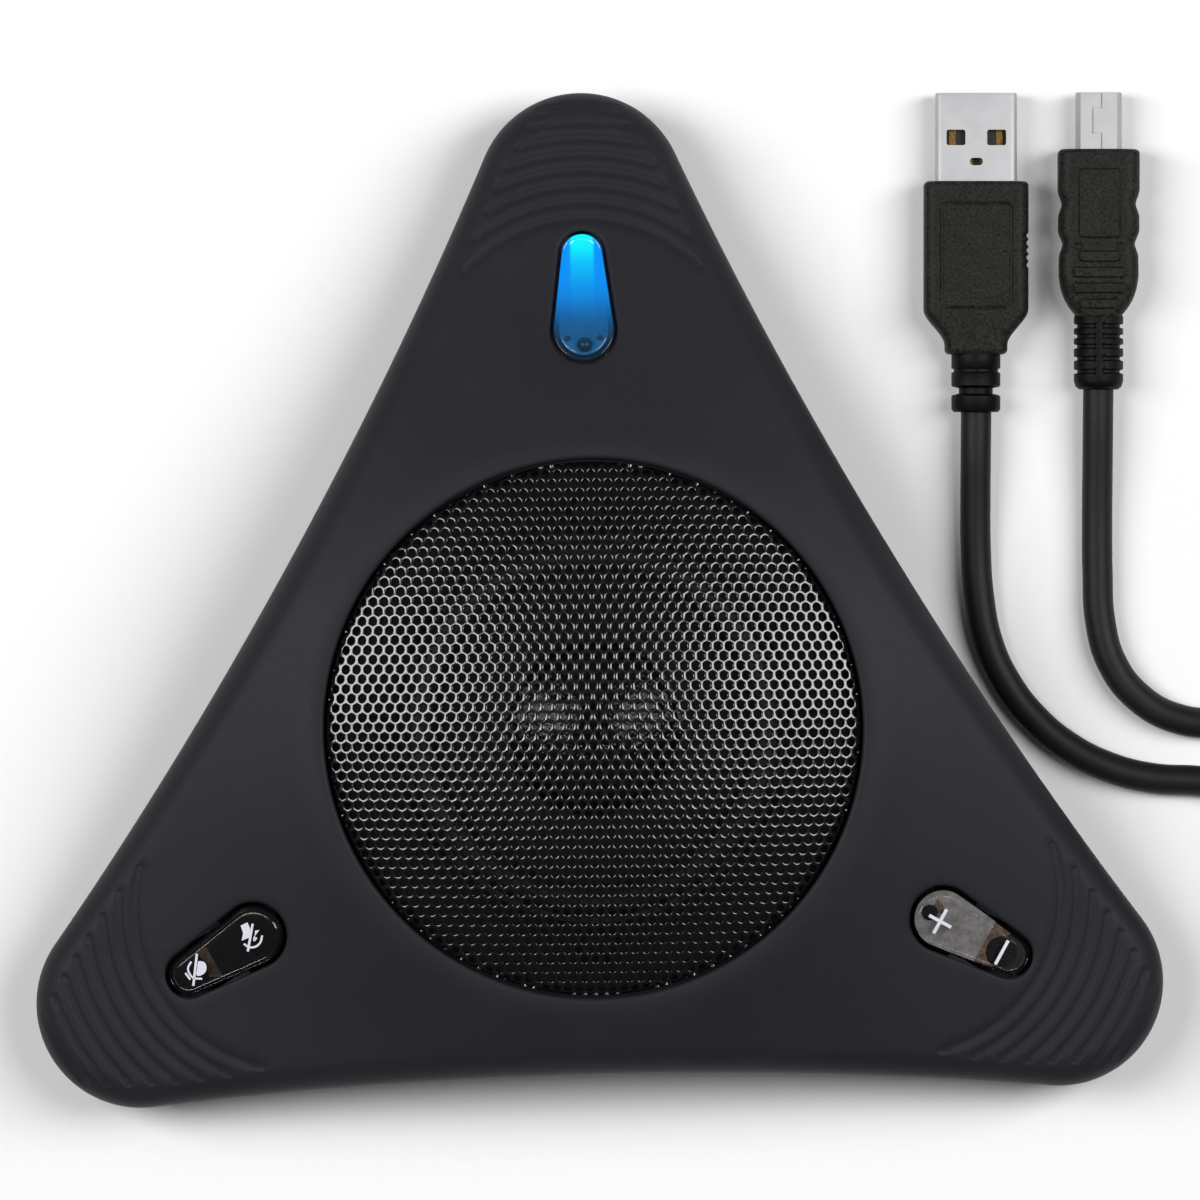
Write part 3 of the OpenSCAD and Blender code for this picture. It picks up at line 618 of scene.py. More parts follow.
# The six case screws: one in each lobe and one near each hollow side
SCREWS = [in_lobe([(0.0, LOBE_SCREW_AT)], lobe)[0] for lobe in LOBES]
SCREWS += [(SIDE_SCREW_AT * cos(radians(a)), SIDE_SCREW_AT * sin(radians(a)))
           for a in (SIDE_SCREW_FROM, SIDE_SCREW_FROM + 120, SIDE_SCREW_FROM + 240)]


def add_walls(shell, walls, way):
    """An outer and an inner wall, each from the joint to its own (inset, height), above (way 1) or below the
    joint, with that half of the plug opening in the side that faces -Y."""
    mouth_edge = MOUTH_HIGH if way > 0 else MOUTH_LOW
    in_mouth = MOUTH_INSIDE > -1e-6
    found = []
    for inset, height in walls:
        joint, end = lifted(outline(inset), JOINT_Z), lifted(outline(inset), height)
        middle = joint.copy()
        middle[:, 2] = mouth_edge - way * MOUTH_CORNER
        if way > 0:
            middle[:, 2] = np.minimum(middle[:, 2], (JOINT_Z + end[:, 2]) / 2)
        middle[in_mouth, 2] = mouth_edge - way * rounding(MOUTH_INSIDE[in_mouth], MOUTH_CORNER)
        shell.rows([joint, middle], keep=~MOUTH_QUAD)
        shell.rows([middle, end])
        found.append((joint, middle))
    (outer_joint, outer_middle), (inner_joint, inner_middle) = found
    shell.rows([outer_joint, inner_joint], keep=~MOUTH_QUAD)
    shell.rows([outer_middle, inner_middle], keep=MOUTH_QUAD)
    for i in np.flatnonzero(MOUTH_QUAD != np.roll(MOUTH_QUAD, 1)):
        shell.add([outer_joint[i], inner_joint[i], inner_middle[i], outer_middle[i]], [(0, 1, 2, 3)])


# ---- top cover


def make_top_cover():
    shell = Shell()
    edge_loops = [outline(d) for d in round_steps(EDGE_R, 9)]
    recess_loops = [circle(RECESS_R + d, RECESS_STEPS) for d in round_steps(RECESS_EDGE, 4)]
    key_loops = [in_lobe(key_loop(KEY_GAP + d), lobe) for lobe in LOBES for d in round_steps(KEY_EDGE_R, 4)]
    groove_loops = [in_lobe(groove_loop(i, off), lobe) for lobe in LOBES for i in range(GROOVE_COUNT)
                    for off in (GROOVE_HALF_W - GROOVE_SOFT, GROOVE_HALF_W, GROOVE_HALF_W + GROOVE_SOFT)]
    rim_loops = [circle(RIM_R + d, RECESS_STEPS) for d in (-RIM_BLEND + 0.4, 0, RIM_BLEND)]

    def keep(inset, middle_r):
        return lambda x, y: ((outline_inset(x, y) > inset) & (np.hypot(x, y) > middle_r)
                             & (key_inset(*fold(x, y)) < -KEY_GAP))

    loops = edge_loops + recess_loops + key_loops + groove_loops + rim_loops
    flat, triangles = fill(loops, keep(0, RECESS_R), TOP_SPACING)
    shell.add(lifted(flat, cover_top), triangles)

    add_walls(shell, ((0, under_hill(EDGE_R)), (WALL, under_hill(WALL))), 1)

    # Inner skin, key openings and recess
    inner_keys = [in_lobe(key_loop(KEY_GAP), lobe) for lobe in LOBES]
    flat, triangles = fill([outline(WALL), circle(RIM_R, RECESS_STEPS)] + inner_keys, keep(WALL, RIM_R),
                           HIDDEN_SPACING)
    shell.add(lifted(flat, under_hill(WALL)), triangles)
    for loop in inner_keys:
        shell.rows([lifted(loop, under_hill(KEY_EDGE_R)), lifted(loop, under_hill(WALL))])
    rim_low = hill(np.array([RIM_R]))[0] - WALL
    shell.rows([lifted(circle(r, RECESS_STEPS), z) for r, z in (
        (RECESS_R, RIM_Z - RECESS_EDGE), (RECESS_R, BAFFLE_TOP), (BAFFLE_HOLE + 0.4, BAFFLE_TOP),
        (BAFFLE_HOLE, BAFFLE_TOP - 0.4), (BAFFLE_HOLE, BAFFLE_LOW), (RIM_R, BAFFLE_LOW), (RIM_R, rim_low))])

    # Screw bosses and the ears that hold the rockers' pivots
    low = BAFFLE_LOW + SUNK_IN_BAFFLE
    for i, place in enumerate(SCREWS):
        tube(shell, place, SCREW_CORE_R, BOSS_R, JOINT_Z + BOSS_ABOVE_JOINT, low if i > 2 else LOBE_BOSS_TOP)
    high = low + PILLAR_H
    pillar = [(0, high), (PILLAR_R - PILLAR_BEVEL, high), (PILLAR_R, high - PILLAR_BEVEL), (PILLAR_R, low),
              (SCREW_CORE_R, low), (SCREW_CORE_R, high - PILLAR_ROOF), (0, high - PILLAR_ROOF)]
    for place in circle(SPEAKER_SCREW_AT, 4):
        shell.lathe(pillar, place, 40, closed=False)
    for lobe in (1, 2):
        for side in (-1, 1):
            ear = Shell()
            near, far = sorted((side * EAR_IN, side * (EAR_IN + EAR_T)))
            block(ear, (near, KEY_MIDDLE - EAR_HALF, PIVOT_Z - EAR_BELOW),
                  (far, KEY_MIDDLE + EAR_HALF, PIVOT_Z + EAR_ABOVE))
            shell.add(in_lobe(ear.points, lobe), ear.faces)
    return shell.build("top_shell", crease=50.0)


# ---- bottom cover and foot


def make_bottom_cover():
    shell = Shell()
    outer = BASE_INSET
    inner = BASE_INSET + WALL
    edge = [(outer + d, BASE_Z + rounding(d, BASE_EDGE_R)) for d in round_steps(BASE_EDGE_R, 7)]
    shell.rows([lifted(outline(d), z) for d, z in edge])
    base_edge = outline(edge[-1][0])
    pockets = [circle(POCKET_R, 40, place) for place in SCREWS]
    pocket_at = np.array(SCREWS)
    seat = [circle(FOOT_IN, RECESS_STEPS), circle(FOOT_OUT, RECESS_STEPS)]
    label = rounded_rectangle((0, 0), LABEL_SIZE, LABEL_CORNER, 6)

    def outside_pockets(x, y):
        off = np.hypot(x[:, None] - pocket_at[:, 0], y[:, None] - pocket_at[:, 1])
        return off.min(axis=1) > POCKET_R

    def keep_base(x, y):
        r = np.hypot(x, y)
        return ((outline_inset(x, y) > edge[-1][0]) & ((r < FOOT_IN) | (r > FOOT_OUT)) & outside_pockets(x, y)
                & (box_inset(x, y, (0, 0), LABEL_SIZE, LABEL_CORNER) < 0))

    flat, triangles = fill([base_edge] + seat + pockets + [label], keep_base, HIDDEN_SPACING)
    shell.add(lifted(flat, BASE_Z), triangles)
    shell.rows([lifted(seat[0], BASE_Z), lifted(seat[0], FOOT_SEAT), lifted(seat[1], FOOT_SEAT),
                lifted(seat[1], BASE_Z)])
    for loop, place in zip(pockets, SCREWS):
        shell.rows([lifted(loop, BASE_Z), lifted(loop, POCKET_Z)])
        shell.fan(lifted(loop, POCKET_Z), (*place, POCKET_Z))
        tube(shell, place, SCREW_HOLE_R, POST_R, POCKET_Z + 0.1, JOINT_Z)
    shell.rows([lifted(label, BASE_Z), lifted(label, BASE_Z + LABEL_DEPTH)])
    shell.fan(lifted(label, BASE_Z + LABEL_DEPTH), (0, 0, BASE_Z + LABEL_DEPTH))

    add_walls(shell, ((outer, BASE_Z + BASE_EDGE_R), (inner, FLOOR_Z)), -1)
    flat, triangles = fill([outline(inner)], lambda x, y: outline_inset(x, y) > inner, FLOOR_SPACING)
    shell.add(lifted(flat, FLOOR_Z), triangles)
    cover = shell.build("bottom_shell")

    # Sound ports through the lobe ends
    ports = Shell()
    for lobe in LOBES:
        a = pi / 2 + lobe * 2 * pi / 3
        rings = []
        for r in (LOBE_AT + LOBE_R - 4.5, LOBE_AT + LOBE_R + 1):
            rings.append([(r * cos(a) - PORT_R * sin(a) * cos(t),
                           r * sin(a) + PORT_R * cos(a) * cos(t),
                           MIC_Z + PORT_R * sin(t)) for t in np.linspace(0, 2 * pi, 25)[:-1]])
        ports.capped(rings)
    cut_out(cover, ports.build("port_cutter"))
    return cover


def cut_out(obj, cutter):
    """Cut one object out of another, and keep only the cut mesh."""
    cut = obj.modifiers.new("cut", "BOOLEAN")
    cut.operation, cut.solver, cut.object = "DIFFERENCE", "EXACT", cutter
    final = obj.evaluated_get(bpy.context.evaluated_depsgraph_get())
    mesh = bpy.data.meshes.new_from_object(final)
    obj.modifiers.clear()
    obj.data = mesh
    bpy.data.objects.remove(cutter)


def rounded_rectangle(centre, size, corner, steps):
    """A closed loop round a rectangle with round corners."""
    points = []
    for sx, sy, start in ((1, 1, 0), (-1, 1, pi / 2), (-1, -1, pi), (1, -1, 1.5 * pi)):
        middle = (centre[0] + sx * (size[0] / 2 - corner), centre[1] + sy * (size[1] / 2 - corner))
        points += arc(middle, corner, start, start + pi / 2, steps)
    return points


def box_inset(x, y, centre, size, corner):
    """Distance in from a rectangle with round corners."""
    u = np.abs(x - centre[0]) - size[0] / 2 + corner
    v = np.abs(y - centre[1]) - size[1] / 2 + corner
    return corner - np.hypot(np.maximum(u, 0), np.maximum(v, 0)) - np.minimum(np.maximum(u, v), 0)


def make_foot():
    """The rubber foot ring, with round edges and two shallow channels in its sole."""
    shell = Shell()
    middle = (FOOT_IN + FOOT_OUT) / 2
    half = (FOOT_OUT - FOOT_IN) / 2 - 0.1
    sole = [(-half, 0.7), (-half + 0.2, 0.2), (-half + 0.6, 0)]
    for at in (-0.85, 0.85):
        sole += [(at - 0.4, 0), (at - 0.25, 0.3), (at + 0.25, 0.3), (at + 0.4, 0)]
    sole += [(half - 0.6, 0), (half - 0.2, 0.2), (half, 0.7), (half, FOOT_SEAT), (-half, FOOT_SEAT)]
    shell.lathe([(middle + u, z) for u, z in sole], steps=RECESS_STEPS)
    return shell.build("foot")


# ---- grille


def grille_surface(s):
    """Radius, height and slope of the grille at a distance s over its surface from the middle."""
    lean = asin((GRILLE_R - GRILLE_BEND) / (GRILLE_DOME_R - GRILLE_BEND))
    bend_from = GRILLE_DOME_R * lean
    bend_to = bend_from + GRILLE_BEND * (pi / 2 - lean)
    dome = np.minimum(s, bend_from) / GRILLE_DOME_R
    turn = lean + np.clip(s - bend_from, 0, bend_to - bend_from) / GRILLE_BEND
    bent = s > bend_from
    r = GRILLE_DOME_R * np.sin(dome) + np.where(bent, GRILLE_BEND * (np.sin(turn) - sin(lean)), 0)
    z = GRILLE_TOP - GRILLE_DOME_R * (1 - np.cos(dome))
    z += np.where(bent, GRILLE_BEND * (np.cos(turn) - cos(lean)), 0)
    return r, z - np.maximum(s - bend_to, 0), np.where(bent, turn, dome)


def grille_end():
    """Distance over the surface to the foot of the skirt."""
    far = 60.0
    z = grille_surface(np.array([far]))[1][0]
    return far + z - BAFFLE_TOP


def make_grille():
    """A pressed sheet with round holes in a hexagonal pattern, each with a rolled rim."""
    end = grille_end()
    turn = radians(PATTERN_TURN)
    centres = []
    for row in range(-PATTERN_ROWS, PATTERN_ROWS + 1):
        for column in range(-PATTERN_COLUMNS, PATTERN_COLUMNS + 1):
            x = (column + (row % 2) / 2) * HOLE_PITCH
            y = row * HOLE_PITCH * sqrt(0.75) + PATTERN_SHIFT
            centres.append((x * cos(turn) - y * sin(turn), x * sin(turn) + y * cos(turn)))
    centres = np.array([c for c in centres if hypot(*c) < end + 0.6])
    corner_r = HOLE_PITCH / sqrt(3)
    corner_a = pi / 6 + turn + np.arange(6) * pi / 3
    corners = centres[:, None, :] + corner_r * np.stack([np.cos(corner_a), np.sin(corner_a)], axis=1)
    keys, index = np.unique(np.round(corners.reshape(-1, 2), 3), axis=0, return_inverse=True)
    index = index.reshape(-1, 6)
    count = len(keys)

    ring_a = corner_a[0] + np.arange(12) * pi / 6
    spoke = np.stack([np.cos(ring_a), np.sin(ring_a)], axis=1)
    flat = [keys, keys]
    depth = [np.zeros(count), np.full(count, GRILLE_T)]
    faces = []
    at = 2 * count
    rings = ((RIM_OUT, 0.0), (HOLE_R, RIM_SINK), (HOLE_R, GRILLE_T))
    for cell, centre in zip(index, centres):
        if hypot(*centre) > HOLES_TO:
            flat.append(np.array([centre, centre]))
            depth.append(np.array([0, GRILLE_T]))
            for i in range(6):
                a, b = cell[i], cell[(i + 1) % 6]
                faces += [(a, b, at), (b + count, a + count, at + 1)]
            at += 2
            continue
        for r, sink in rings:
            flat.append(centre + r * spoke)
            depth.append(np.full(12, sink))
        for base, first, flip in ((0, at, False), (count, at + 24, True)):
            for i in range(6):
                a, b = base + cell[i], base + cell[(i + 1) % 6]
                p, q, n = first + 2 * i, first + 2 * i + 1, first + (2 * i + 2) % 12
                new = [(a, q, p), (a, b, q), (b, n, q)]
                faces += [f[::-1] for f in new] if flip else new
        for level in range(2):
            for i in range(12):
                a, b = at + 12 * level + i, at + 12 * level + (i + 1) % 12
                faces += [(a, b, b + 12), (a, b + 12, a + 12)]
        at += 36
    flat = np.concatenate(flat)
    depth = np.concatenate(depth)
    s = np.hypot(flat[:, 0], flat[:, 1])
    beyond = s > end
    faces = np.array(faces)
    faces = faces[~beyond[faces].all(axis=1)]

    # Close the sheet's edge at the foot of the skirt
    top = faces[(faces < count).any(axis=1) & (depth[faces] == 0).all(axis=1)]
    edges = np.concatenate([top[:, [0, 1]], top[:, [1, 2]], top[:, [2, 0]]])
    edges = edges[(edges < count).all(axis=1)]
    seen = {(a, b) for a, b in edges}
    rim = [(a, b) for a, b in edges if (b, a) not in seen]
    closing = [t for a, b in rim for t in ((b, a, a + count), (b, a + count, b + count))]
    faces = np.concatenate([faces, np.array(closing)])

    r, z, slope = grille_surface(np.minimum(s, end))
    r, z = r - depth * np.sin(slope), z - depth * np.cos(slope)
    safe = np.maximum(s, 1e-9)
    shell = Shell()
    shell.add(np.column_stack([flat[:, 0] / safe * r, flat[:, 1] / safe * r, z]), faces)
    return shell.build("grille_mesh", crease=55.0)


def make_dust_cap():
    """A domed cap whose glued flange lies on the cone."""
    crown = [(CAP_DOME_R * sin(a), CAP_TOP_Z - CAP_DOME_R * (1 - cos(a)))
             for a in np.linspace(0, asin(DUST_CAP_R / CAP_DOME_R), 24)]
    edge_r, edge_z = crown[-1]
    flange = [(edge_r + 0.15, edge_z - 0.02), (edge_r + 1.2, edge_z + 0.62), (edge_r + 1.25, edge_z + 0.4),
              (edge_r + 0.2, edge_z - 0.25)]
    under = [(r, z - 0.4) for r, z in crown[::-1]]
    shell = Shell()
    shell.lathe(crown + flange + under[:-1] + [(0, under[-1][1])], steps=120, closed=False)
    return shell.build("dust_cap")


def make_spider():
    """The cloth spider: a flat collar on the coil's former, rolled waves, and a flat rim on the basket."""
    radii = np.linspace(SPIDER_IN, SPIDER_OUT, 72)
    turns = np.clip((radii - SPIDER_COLLAR) / (SPIDER_RIM - SPIDER_COLLAR), 0, 1) * SPIDER_WAVES
    under = SPIDER_Z + SPIDER_WAVE / 2 * (1 - np.cos(2 * pi * turns))
    shell = Shell()
    below = list(zip(radii, under))
    shell.lathe(below + [(r, z + SPIDER_T) for r, z in below[::-1]], steps=96)
    return shell.build("spider")


def make_tie():
    """A hook-and-loop strap wrapped round the coil, its end pressed down on itself."""
    shell = Shell()

    def wrap(near, far, low, high, corner, width):
        loop = rounded_rectangle(((near + far) / 2, (low + high) / 2), (far - near, high - low), corner, 8)
        return [[(COIL_CENTRE[0] + x, COIL_CENTRE[1] + side * width / 2, z) for x, z in loop]
                for side in (-1, 1)]

    outer = wrap(COIL_IN - TIE_T, COIL_OUT + TIE_T, TIE_LOW - TIE_T, TIE_HIGH + TIE_T,
                 TIE_CORNER + TIE_T / 2, TIE_W)
    inner = wrap(COIL_IN, COIL_OUT, TIE_LOW, TIE_HIGH, TIE_CORNER, TIE_W)
    shell.rows(outer + inner[::-1] + outer[:1])
    tab_z = TIE_HIGH + 0.8 * TIE_T
    shell.capped(wrap(TAB_IN, TAB_OUT, tab_z, tab_z + TIE_T, TIE_T / 3, 0.96 * TIE_W))
    return shell.build("tie")


# ---- keys, lens and icons


# Heights in lobe 0: a key's top surface inside its edge, and the underside of a cap
key_top = under_hill(-KEY_PROUD)
under_cap = under_hill(CAP_T)


def make_key(name, lobe, trim, skirt):
    """A key or lens, trim smaller than its opening allows: a crowned top with beads round its edge, then the
    skirt's rows of (grow, drop) down to a flat underside."""
    part = Shell()
    loops = [key_loop(-d - trim) for d in KEY_EDGE_IN]

    def top(x, y):
        return key_top(x, y) - np.interp(key_inset(x, y) - trim, KEY_EDGE_IN, KEY_EDGE_DROP)

    flat, triangles = fill(loops, lambda x, y: key_inset(x, y) > trim, KEY_SPACING)
    part.add(lifted(flat, top), triangles)
    edge = [lifted(key_loop(-trim), top)]
    edge += [lifted(key_loop(grow - trim), under_hill(drop)) for grow, drop in skirt]
    part.rows(edge)
    grow, drop = skirt[-1]
    flat, triangles = fill([key_loop(grow - trim)], lambda x, y: key_inset(x, y) > trim - grow,
                           2 * KEY_SPACING)
    part.add(lifted(flat, under_hill(drop)), triangles)
    part.points = in_lobe(part.points, lobe)
    return part.build(name, crease=32.0)


def inside(x, y, polygon):
    """Whether each point lies inside a polygon."""
    odd = np.zeros(len(x), bool)
    for (ax, ay), (bx, by) in zip(polygon, polygon[1:] + polygon[:1]):
        if ay != by:
            odd ^= ((ay > y) != (by > y)) & (x < (bx - ax) * (y - ay) / (by - ay) + ax)
    return odd


def stroke(path, width):
    """The outline of a line of constant width along a path."""
    path = np.array(path, float)
    along = np.gradient(path, axis=0)
    along /= np.linalg.norm(along, axis=1)[:, None]
    side = np.column_stack([-along[:, 1], along[:, 0]]) * width / 2
    return [tuple(p) for p in path + side] + [tuple(p) for p in (path - side)[::-1]]


def make_plates(name, lobe, shapes, top, proud, sunk):
    """Flat plates that follow a surface in a lobe: printed marks, or parts seen through a cap."""
    part = Shell()
    for shape in shapes:
        flat, triangles = fill([shape], lambda x, y: inside(x, y, shape), PLATE_SPACING)
        rims = []
        for rise in (proud, -sunk):
            part.add(lifted(flat, lambda x, y: top(x, y) + rise), triangles)
            rims.append(lifted(shape, lambda x, y: top(x, y) + rise))
        part.rows(rims)
    part.points = in_lobe(part.points, lobe)
    return part.build(name)


def curve_part(a, b, c, d):
    """Five points on a smooth curve from b towards c, with a before and d after them."""
    return [tuple(0.5 * (2 * b + (c - a) * t + (2 * a - 5 * b + 4 * c - d) * t * t
                         + (3 * b - a - 3 * c + d) * t**3)) for t in np.arange(5) / 5]


def smooth_loop(points):
    """A closed smooth curve through points."""
    p = np.array([points[-1], *points, *points[:2]], float)
    return [q for i in range(len(points)) for q in curve_part(*p[i:i + 4])]


def smooth_path(points):
    """An open smooth curve through points."""
    p = np.array([points[0], *points, points[-1]], float)
    return [q for i in range(len(points) - 1) for q in curve_part(*p[i:i + 4])] + [tuple(points[-1])]


# ---- plugs


def on_plug(points, tip):
    """Place points given as (across, back from the tip, height) on the table."""
    turn = radians(PLUG_TURN)
    c, s = cos(turn), sin(turn)
    return [(tip[0] + x * c + back * s, tip[1] + x * s - back * c, z) for x, back, z in points]


def section(half_w, half_h, corner, back, top_detail, columns=64):
    """A rounded cross-section, with many points across its top face."""
    corner = min(corner, half_w - 0.01, half_h - 0.01)
    flat_w, flat_h = half_w - corner, half_h - corner
    quarter = np.linspace(0, pi / 2, 8)
    ring = [(x, half_h + top_detail(x, back)) for x in np.linspace(-flat_w, flat_w, columns)]
    ring += [(flat_w + corner * sin(a), flat_h + corner * cos(a)) for a in quarter[1:]]
    ring += [(flat_w + corner * cos(a), -flat_h - corner * sin(a)) for a in quarter]
    ring += [(x, -half_h) for x in np.linspace(flat_w, -flat_w, 12)[1:]]
    ring += [(-flat_w - corner * sin(a), -flat_h - corner * cos(a)) for a in quarter[1:]]
    ring += [(-flat_w - corner * cos(a), flat_h + corner * sin(a)) for a in quarter[:-1]]
    return [(x, back, PLUG_Z + z) for x, z in ring]


def build_on_plug(name, rings, tip):
    """A closed piece through rings about the plug's axis."""
    shell = Shell()
    shell.rows(rings)
    for ring in (rings[0], rings[-1]):
        shell.fan(ring, (0, ring[0][1], PLUG_Z))
    shell.points = on_plug(shell.points, tip)
    return shell.build(name, crease=45.0)


def make_overmould(name, tip, start, length, half_w, half_h, corner, detail, side_detail, step):
    """A moulded grip lofted from cross-sections, its ends rounded and its top face carrying the relief."""
    end = start + length
    ends = round_steps(GRIP_END_R, 6)
    backs = [start + d for d in ends]
    backs += list(np.arange(start + GRIP_END_R + step, end - GRIP_END_R - step / 2, step))
    backs += [end - d for d in ends[::-1]]
    rings = []
    for back in backs:
        shrink = rounding(min(back - start, end - back), GRIP_END_R)
        ring = section(half_w(back) - shrink, half_h(back) - shrink, corner, back,
                       detail if shrink < 0.02 else lambda x, b: 0.0)
        rings.append([(x + side_detail(x, b), b, z) for x, b, z in ring])
    return build_on_plug(name, rings, tip)


def ramp(value, start, end):
    """0 before start, 1 after end, and smooth between."""
    part = min(1.0, max(0.0, (value - start) / (end - start)))
    return part * part * (3 - 2 * part)


def make_usb_overmould():
    def half_w(back):
        shoulder = ramp(back, USB_SHOULDER[0], USB_SHOULDER[1])
        return USB_W / 2 - (USB_W / 2 - USB_NECK_W / 2) * shoulder

    def half_h(back):
        return PLUG_T / 2 - (PLUG_T / 2 - USB_NECK_H / 2) * ramp(back, USB_SHOULDER[0], USB_SHOULDER[1] + 1)

    def detail(x, back):
        edge = abs(box_inset(x, back, (0, USB_PANEL_AT), USB_PANEL, 0.8))
        return -0.22 * (1 - ramp(edge, 0.08, 0.24))

    def side_detail(x, back):
        if x < USB_W / 2 - 0.7 or not NOTCHES_FROM < back < NOTCHES_TO:
            return 0.0
        return -0.3 * (0.5 - 0.5 * cos(2 * pi * (back - NOTCHES_FROM) / NOTCH_PITCH))

    return make_overmould("usb_grip", USB_TIP, USB_OUT, USB_BODY, half_w, half_h, USB_CORNER, detail,
                          side_detail, USB_STEP)


def make_mini_overmould():
    # The widths, smoothed
    backs = np.arange(MINI_OUT, MINI_OUT + MINI_BODY + 0.01, 0.1)
    kernel = np.hanning(15)
    widths = np.convolve(np.pad(np.interp(backs, *zip(*MINI_WIDTHS)), 7, mode="edge"), kernel / kernel.sum(),
                         mode="valid")

    def half_w(back):
        return float(np.interp(back, backs, widths))

    def half_h(back):
        return PLUG_T / 2 - 0.5 * ramp(back, MINI_OUT + MINI_BODY - 6, MINI_OUT + MINI_BODY)

    def detail(x, back):
        z = 0.35 * (1 - ramp(-box_inset(x, back, (0, MINI_PANEL_AT), MINI_PANEL, 0.5), -0.12, 0.12))
        for side in (-1, 1):
            dot = hypot(x - side * MINI_DOT[0], back - MINI_DOT[1])
            z -= 0.35 * (1 - ramp(dot, 0.4, 0.6))
        for first, last, half in MINI_BARS:
            raised = box_inset(x, back, (0, (first + last) / 2), (2 * half, last - first), 0.5)
            z += 0.5 * (1 - ramp(-raised, -0.1, 0.1))
        return z

    return make_overmould("mini_grip", MINI_TIP, MINI_OUT, MINI_BODY, half_w, half_h, MINI_CORNER, detail,
                          lambda x, back: 0.0, MINI_STEP)


def make_relief(name, tip, profile, slots, rib_half, slot_depth):
    """A strain relief round the cord, with rows of slots that a rib along the top interrupts."""
    backs = sorted(set([round(b, 3) for b, r in profile]
                       + [round(s + d, 3) for s in slots for d in (-0.4, -0.3, -0.2, 0.2, 0.3, 0.4)]))
    rings = []
    for back in backs:
        base = float(np.interp(back, *zip(*profile)))
        cut = max([1 - ramp(abs(back - s), 0.2, 0.35) for s in slots])
        ring = []
        for i in range(96):
            a = 2 * pi * i / 96
            off = base * abs(cos(a))
            r = base - slot_depth * cut * ramp(off, rib_half - 0.15, rib_half + 0.15)
            ring.append((r * cos(a), back, PLUG_Z + r * sin(a)))
        rings.append(ring)
    return build_on_plug(name, rings, tip)


def metal_section(half_w, half_h, bevel, rounded):
    """Cross-section of a plug's metal shell: round corners, or straight bevels."""
    ring = []
    for sx, sz, start in ((1, 1, 0), (-1, 1, pi / 2), (-1, -1, pi), (1, -1, 1.5 * pi)):
        if rounded:
            ring += [(sx * (half_w - bevel) + bevel * cos(a), sz * (half_h - bevel) + bevel * sin(a))
                     for a in np.linspace(start, start + pi / 2, 7)]
        else:
            near, far = (sx * half_w, sz * (half_h - bevel[1])), (sx * (half_w - bevel[0]), sz * half_h)
            ring += [near, far] if sx * sz > 0 else [far, near]
    return ring


def make_metal_shell(name, tip, sizes, length, cutters):
    """A folded metal shell, open at the tip, with its windows cut through."""
    *sections, rounded, depth = sizes
    outer, inner = [metal_section(*s, rounded) for s in sections]
    shell = Shell()

    def ring(shape, back):
        return [(x, back, PLUG_Z + z) for x, z in shape]

    lip = [(x * 0.985, z * 0.96) for x, z in outer]
    shell.rows([ring(outer, length), ring(outer, 0.35), ring(lip, 0), ring(inner, 0.12), ring(inner, depth)])
    shell.fan(ring(inner, depth), (0, depth, PLUG_Z))
    shell.fan(ring(outer, length), (0, length, PLUG_Z))
    shell.points = on_plug(shell.points, tip)
    body = shell.build(name, crease=30.0)
    for loop, low, high in cutters:
        cutter = Shell()
        cutter.capped([on_plug([(x, back, z) for x, back in loop], tip) for z in (low, high)])
        cut_out(body, cutter.build(name + "_cutter"))
    body.data.set_sharp_from_angle(angle=radians(30))
    return body


def usb_windows():
    return [(rounded_rectangle(*window), low, PLUG_T + 1) for *window, low in USB_WINDOWS]


def mini_seam():
    top = PLUG_Z + MINI_SHELL[0][1]
    return [(bar(centre, size), top - SEAM_DEPTH, top + 0.5) for centre, size in MINI_SEAM]


# ---- marks on the keys


def bar(centre, size):
    """The corners of a rectangle."""
    return [(centre[0] + u * size[0] / 2, centre[1] + v * size[1] / 2)
            for u, v in ((-1, -1), (1, -1), (1, 1), (-1, 1))]


def volume_icons():
    w, up, out = MARK_W / 2, PLUS_ARMS[0] / 2, PLUS_ARMS[1] / 2
    cross = [(-w, -up), (w, -up), (w, -w), (out, -w), (out, w), (w, w), (w, up), (-w, up), (-w, w), (-out, w),
             (-out, -w), (-w, -w)]
    plus = [(PLUS_AT[0] + u, PLUS_AT[1] + v) for u, v in cross]
    return [plus, bar(MINUS_AT, (MINUS_LONG, MARK_W))]


def mute_icons():
    """A crossed-out horn with a sound wave on the wide end, a crossed-out microphone on the narrow end."""
    horn_slash = stroke([(1.53, 57.37), (-1.56, 60.12)], 0.35)
    wave = stroke(smooth_path([(-0.3, 60.04), (-1.19, 59.56), (-1.56, 58.66), (-1.34, 57.78),
                               (-0.65, 57.08)]), 0.3)
    bean = stroke(smooth_path([(-0.2, 58.1), (-0.67, 58.5), (-0.51, 57.93)]), 0.25)
    wedge = [(0.5, 57.6), (0.24, 57.0), (-0.2, 58.1)]
    head = smooth_loop([(0.9, 66.97), (0.39, 66.44), (-0.32, 66.5), (-0.92, 67.06), (-1.0, 67.9),
                        (-0.62, 68.42), (0.2, 67.79), (0.85, 67.28)])
    mic_slash = stroke([(2.02, 66.72), (-1.73, 69.65)], 0.35)
    cradle = stroke(smooth_path([(1.45, 68.04), (0.95, 68.9), (0.19, 69.18), (-0.76, 69.01),
                                 (-1.52, 67.98)]), 0.28)
    base = stroke([(0.48, 69.66), (-0.71, 69.55)], 0.3)
    return [MUTE_HORN, horn_slash, wave, bean, wedge, head, mic_slash, cradle, base]


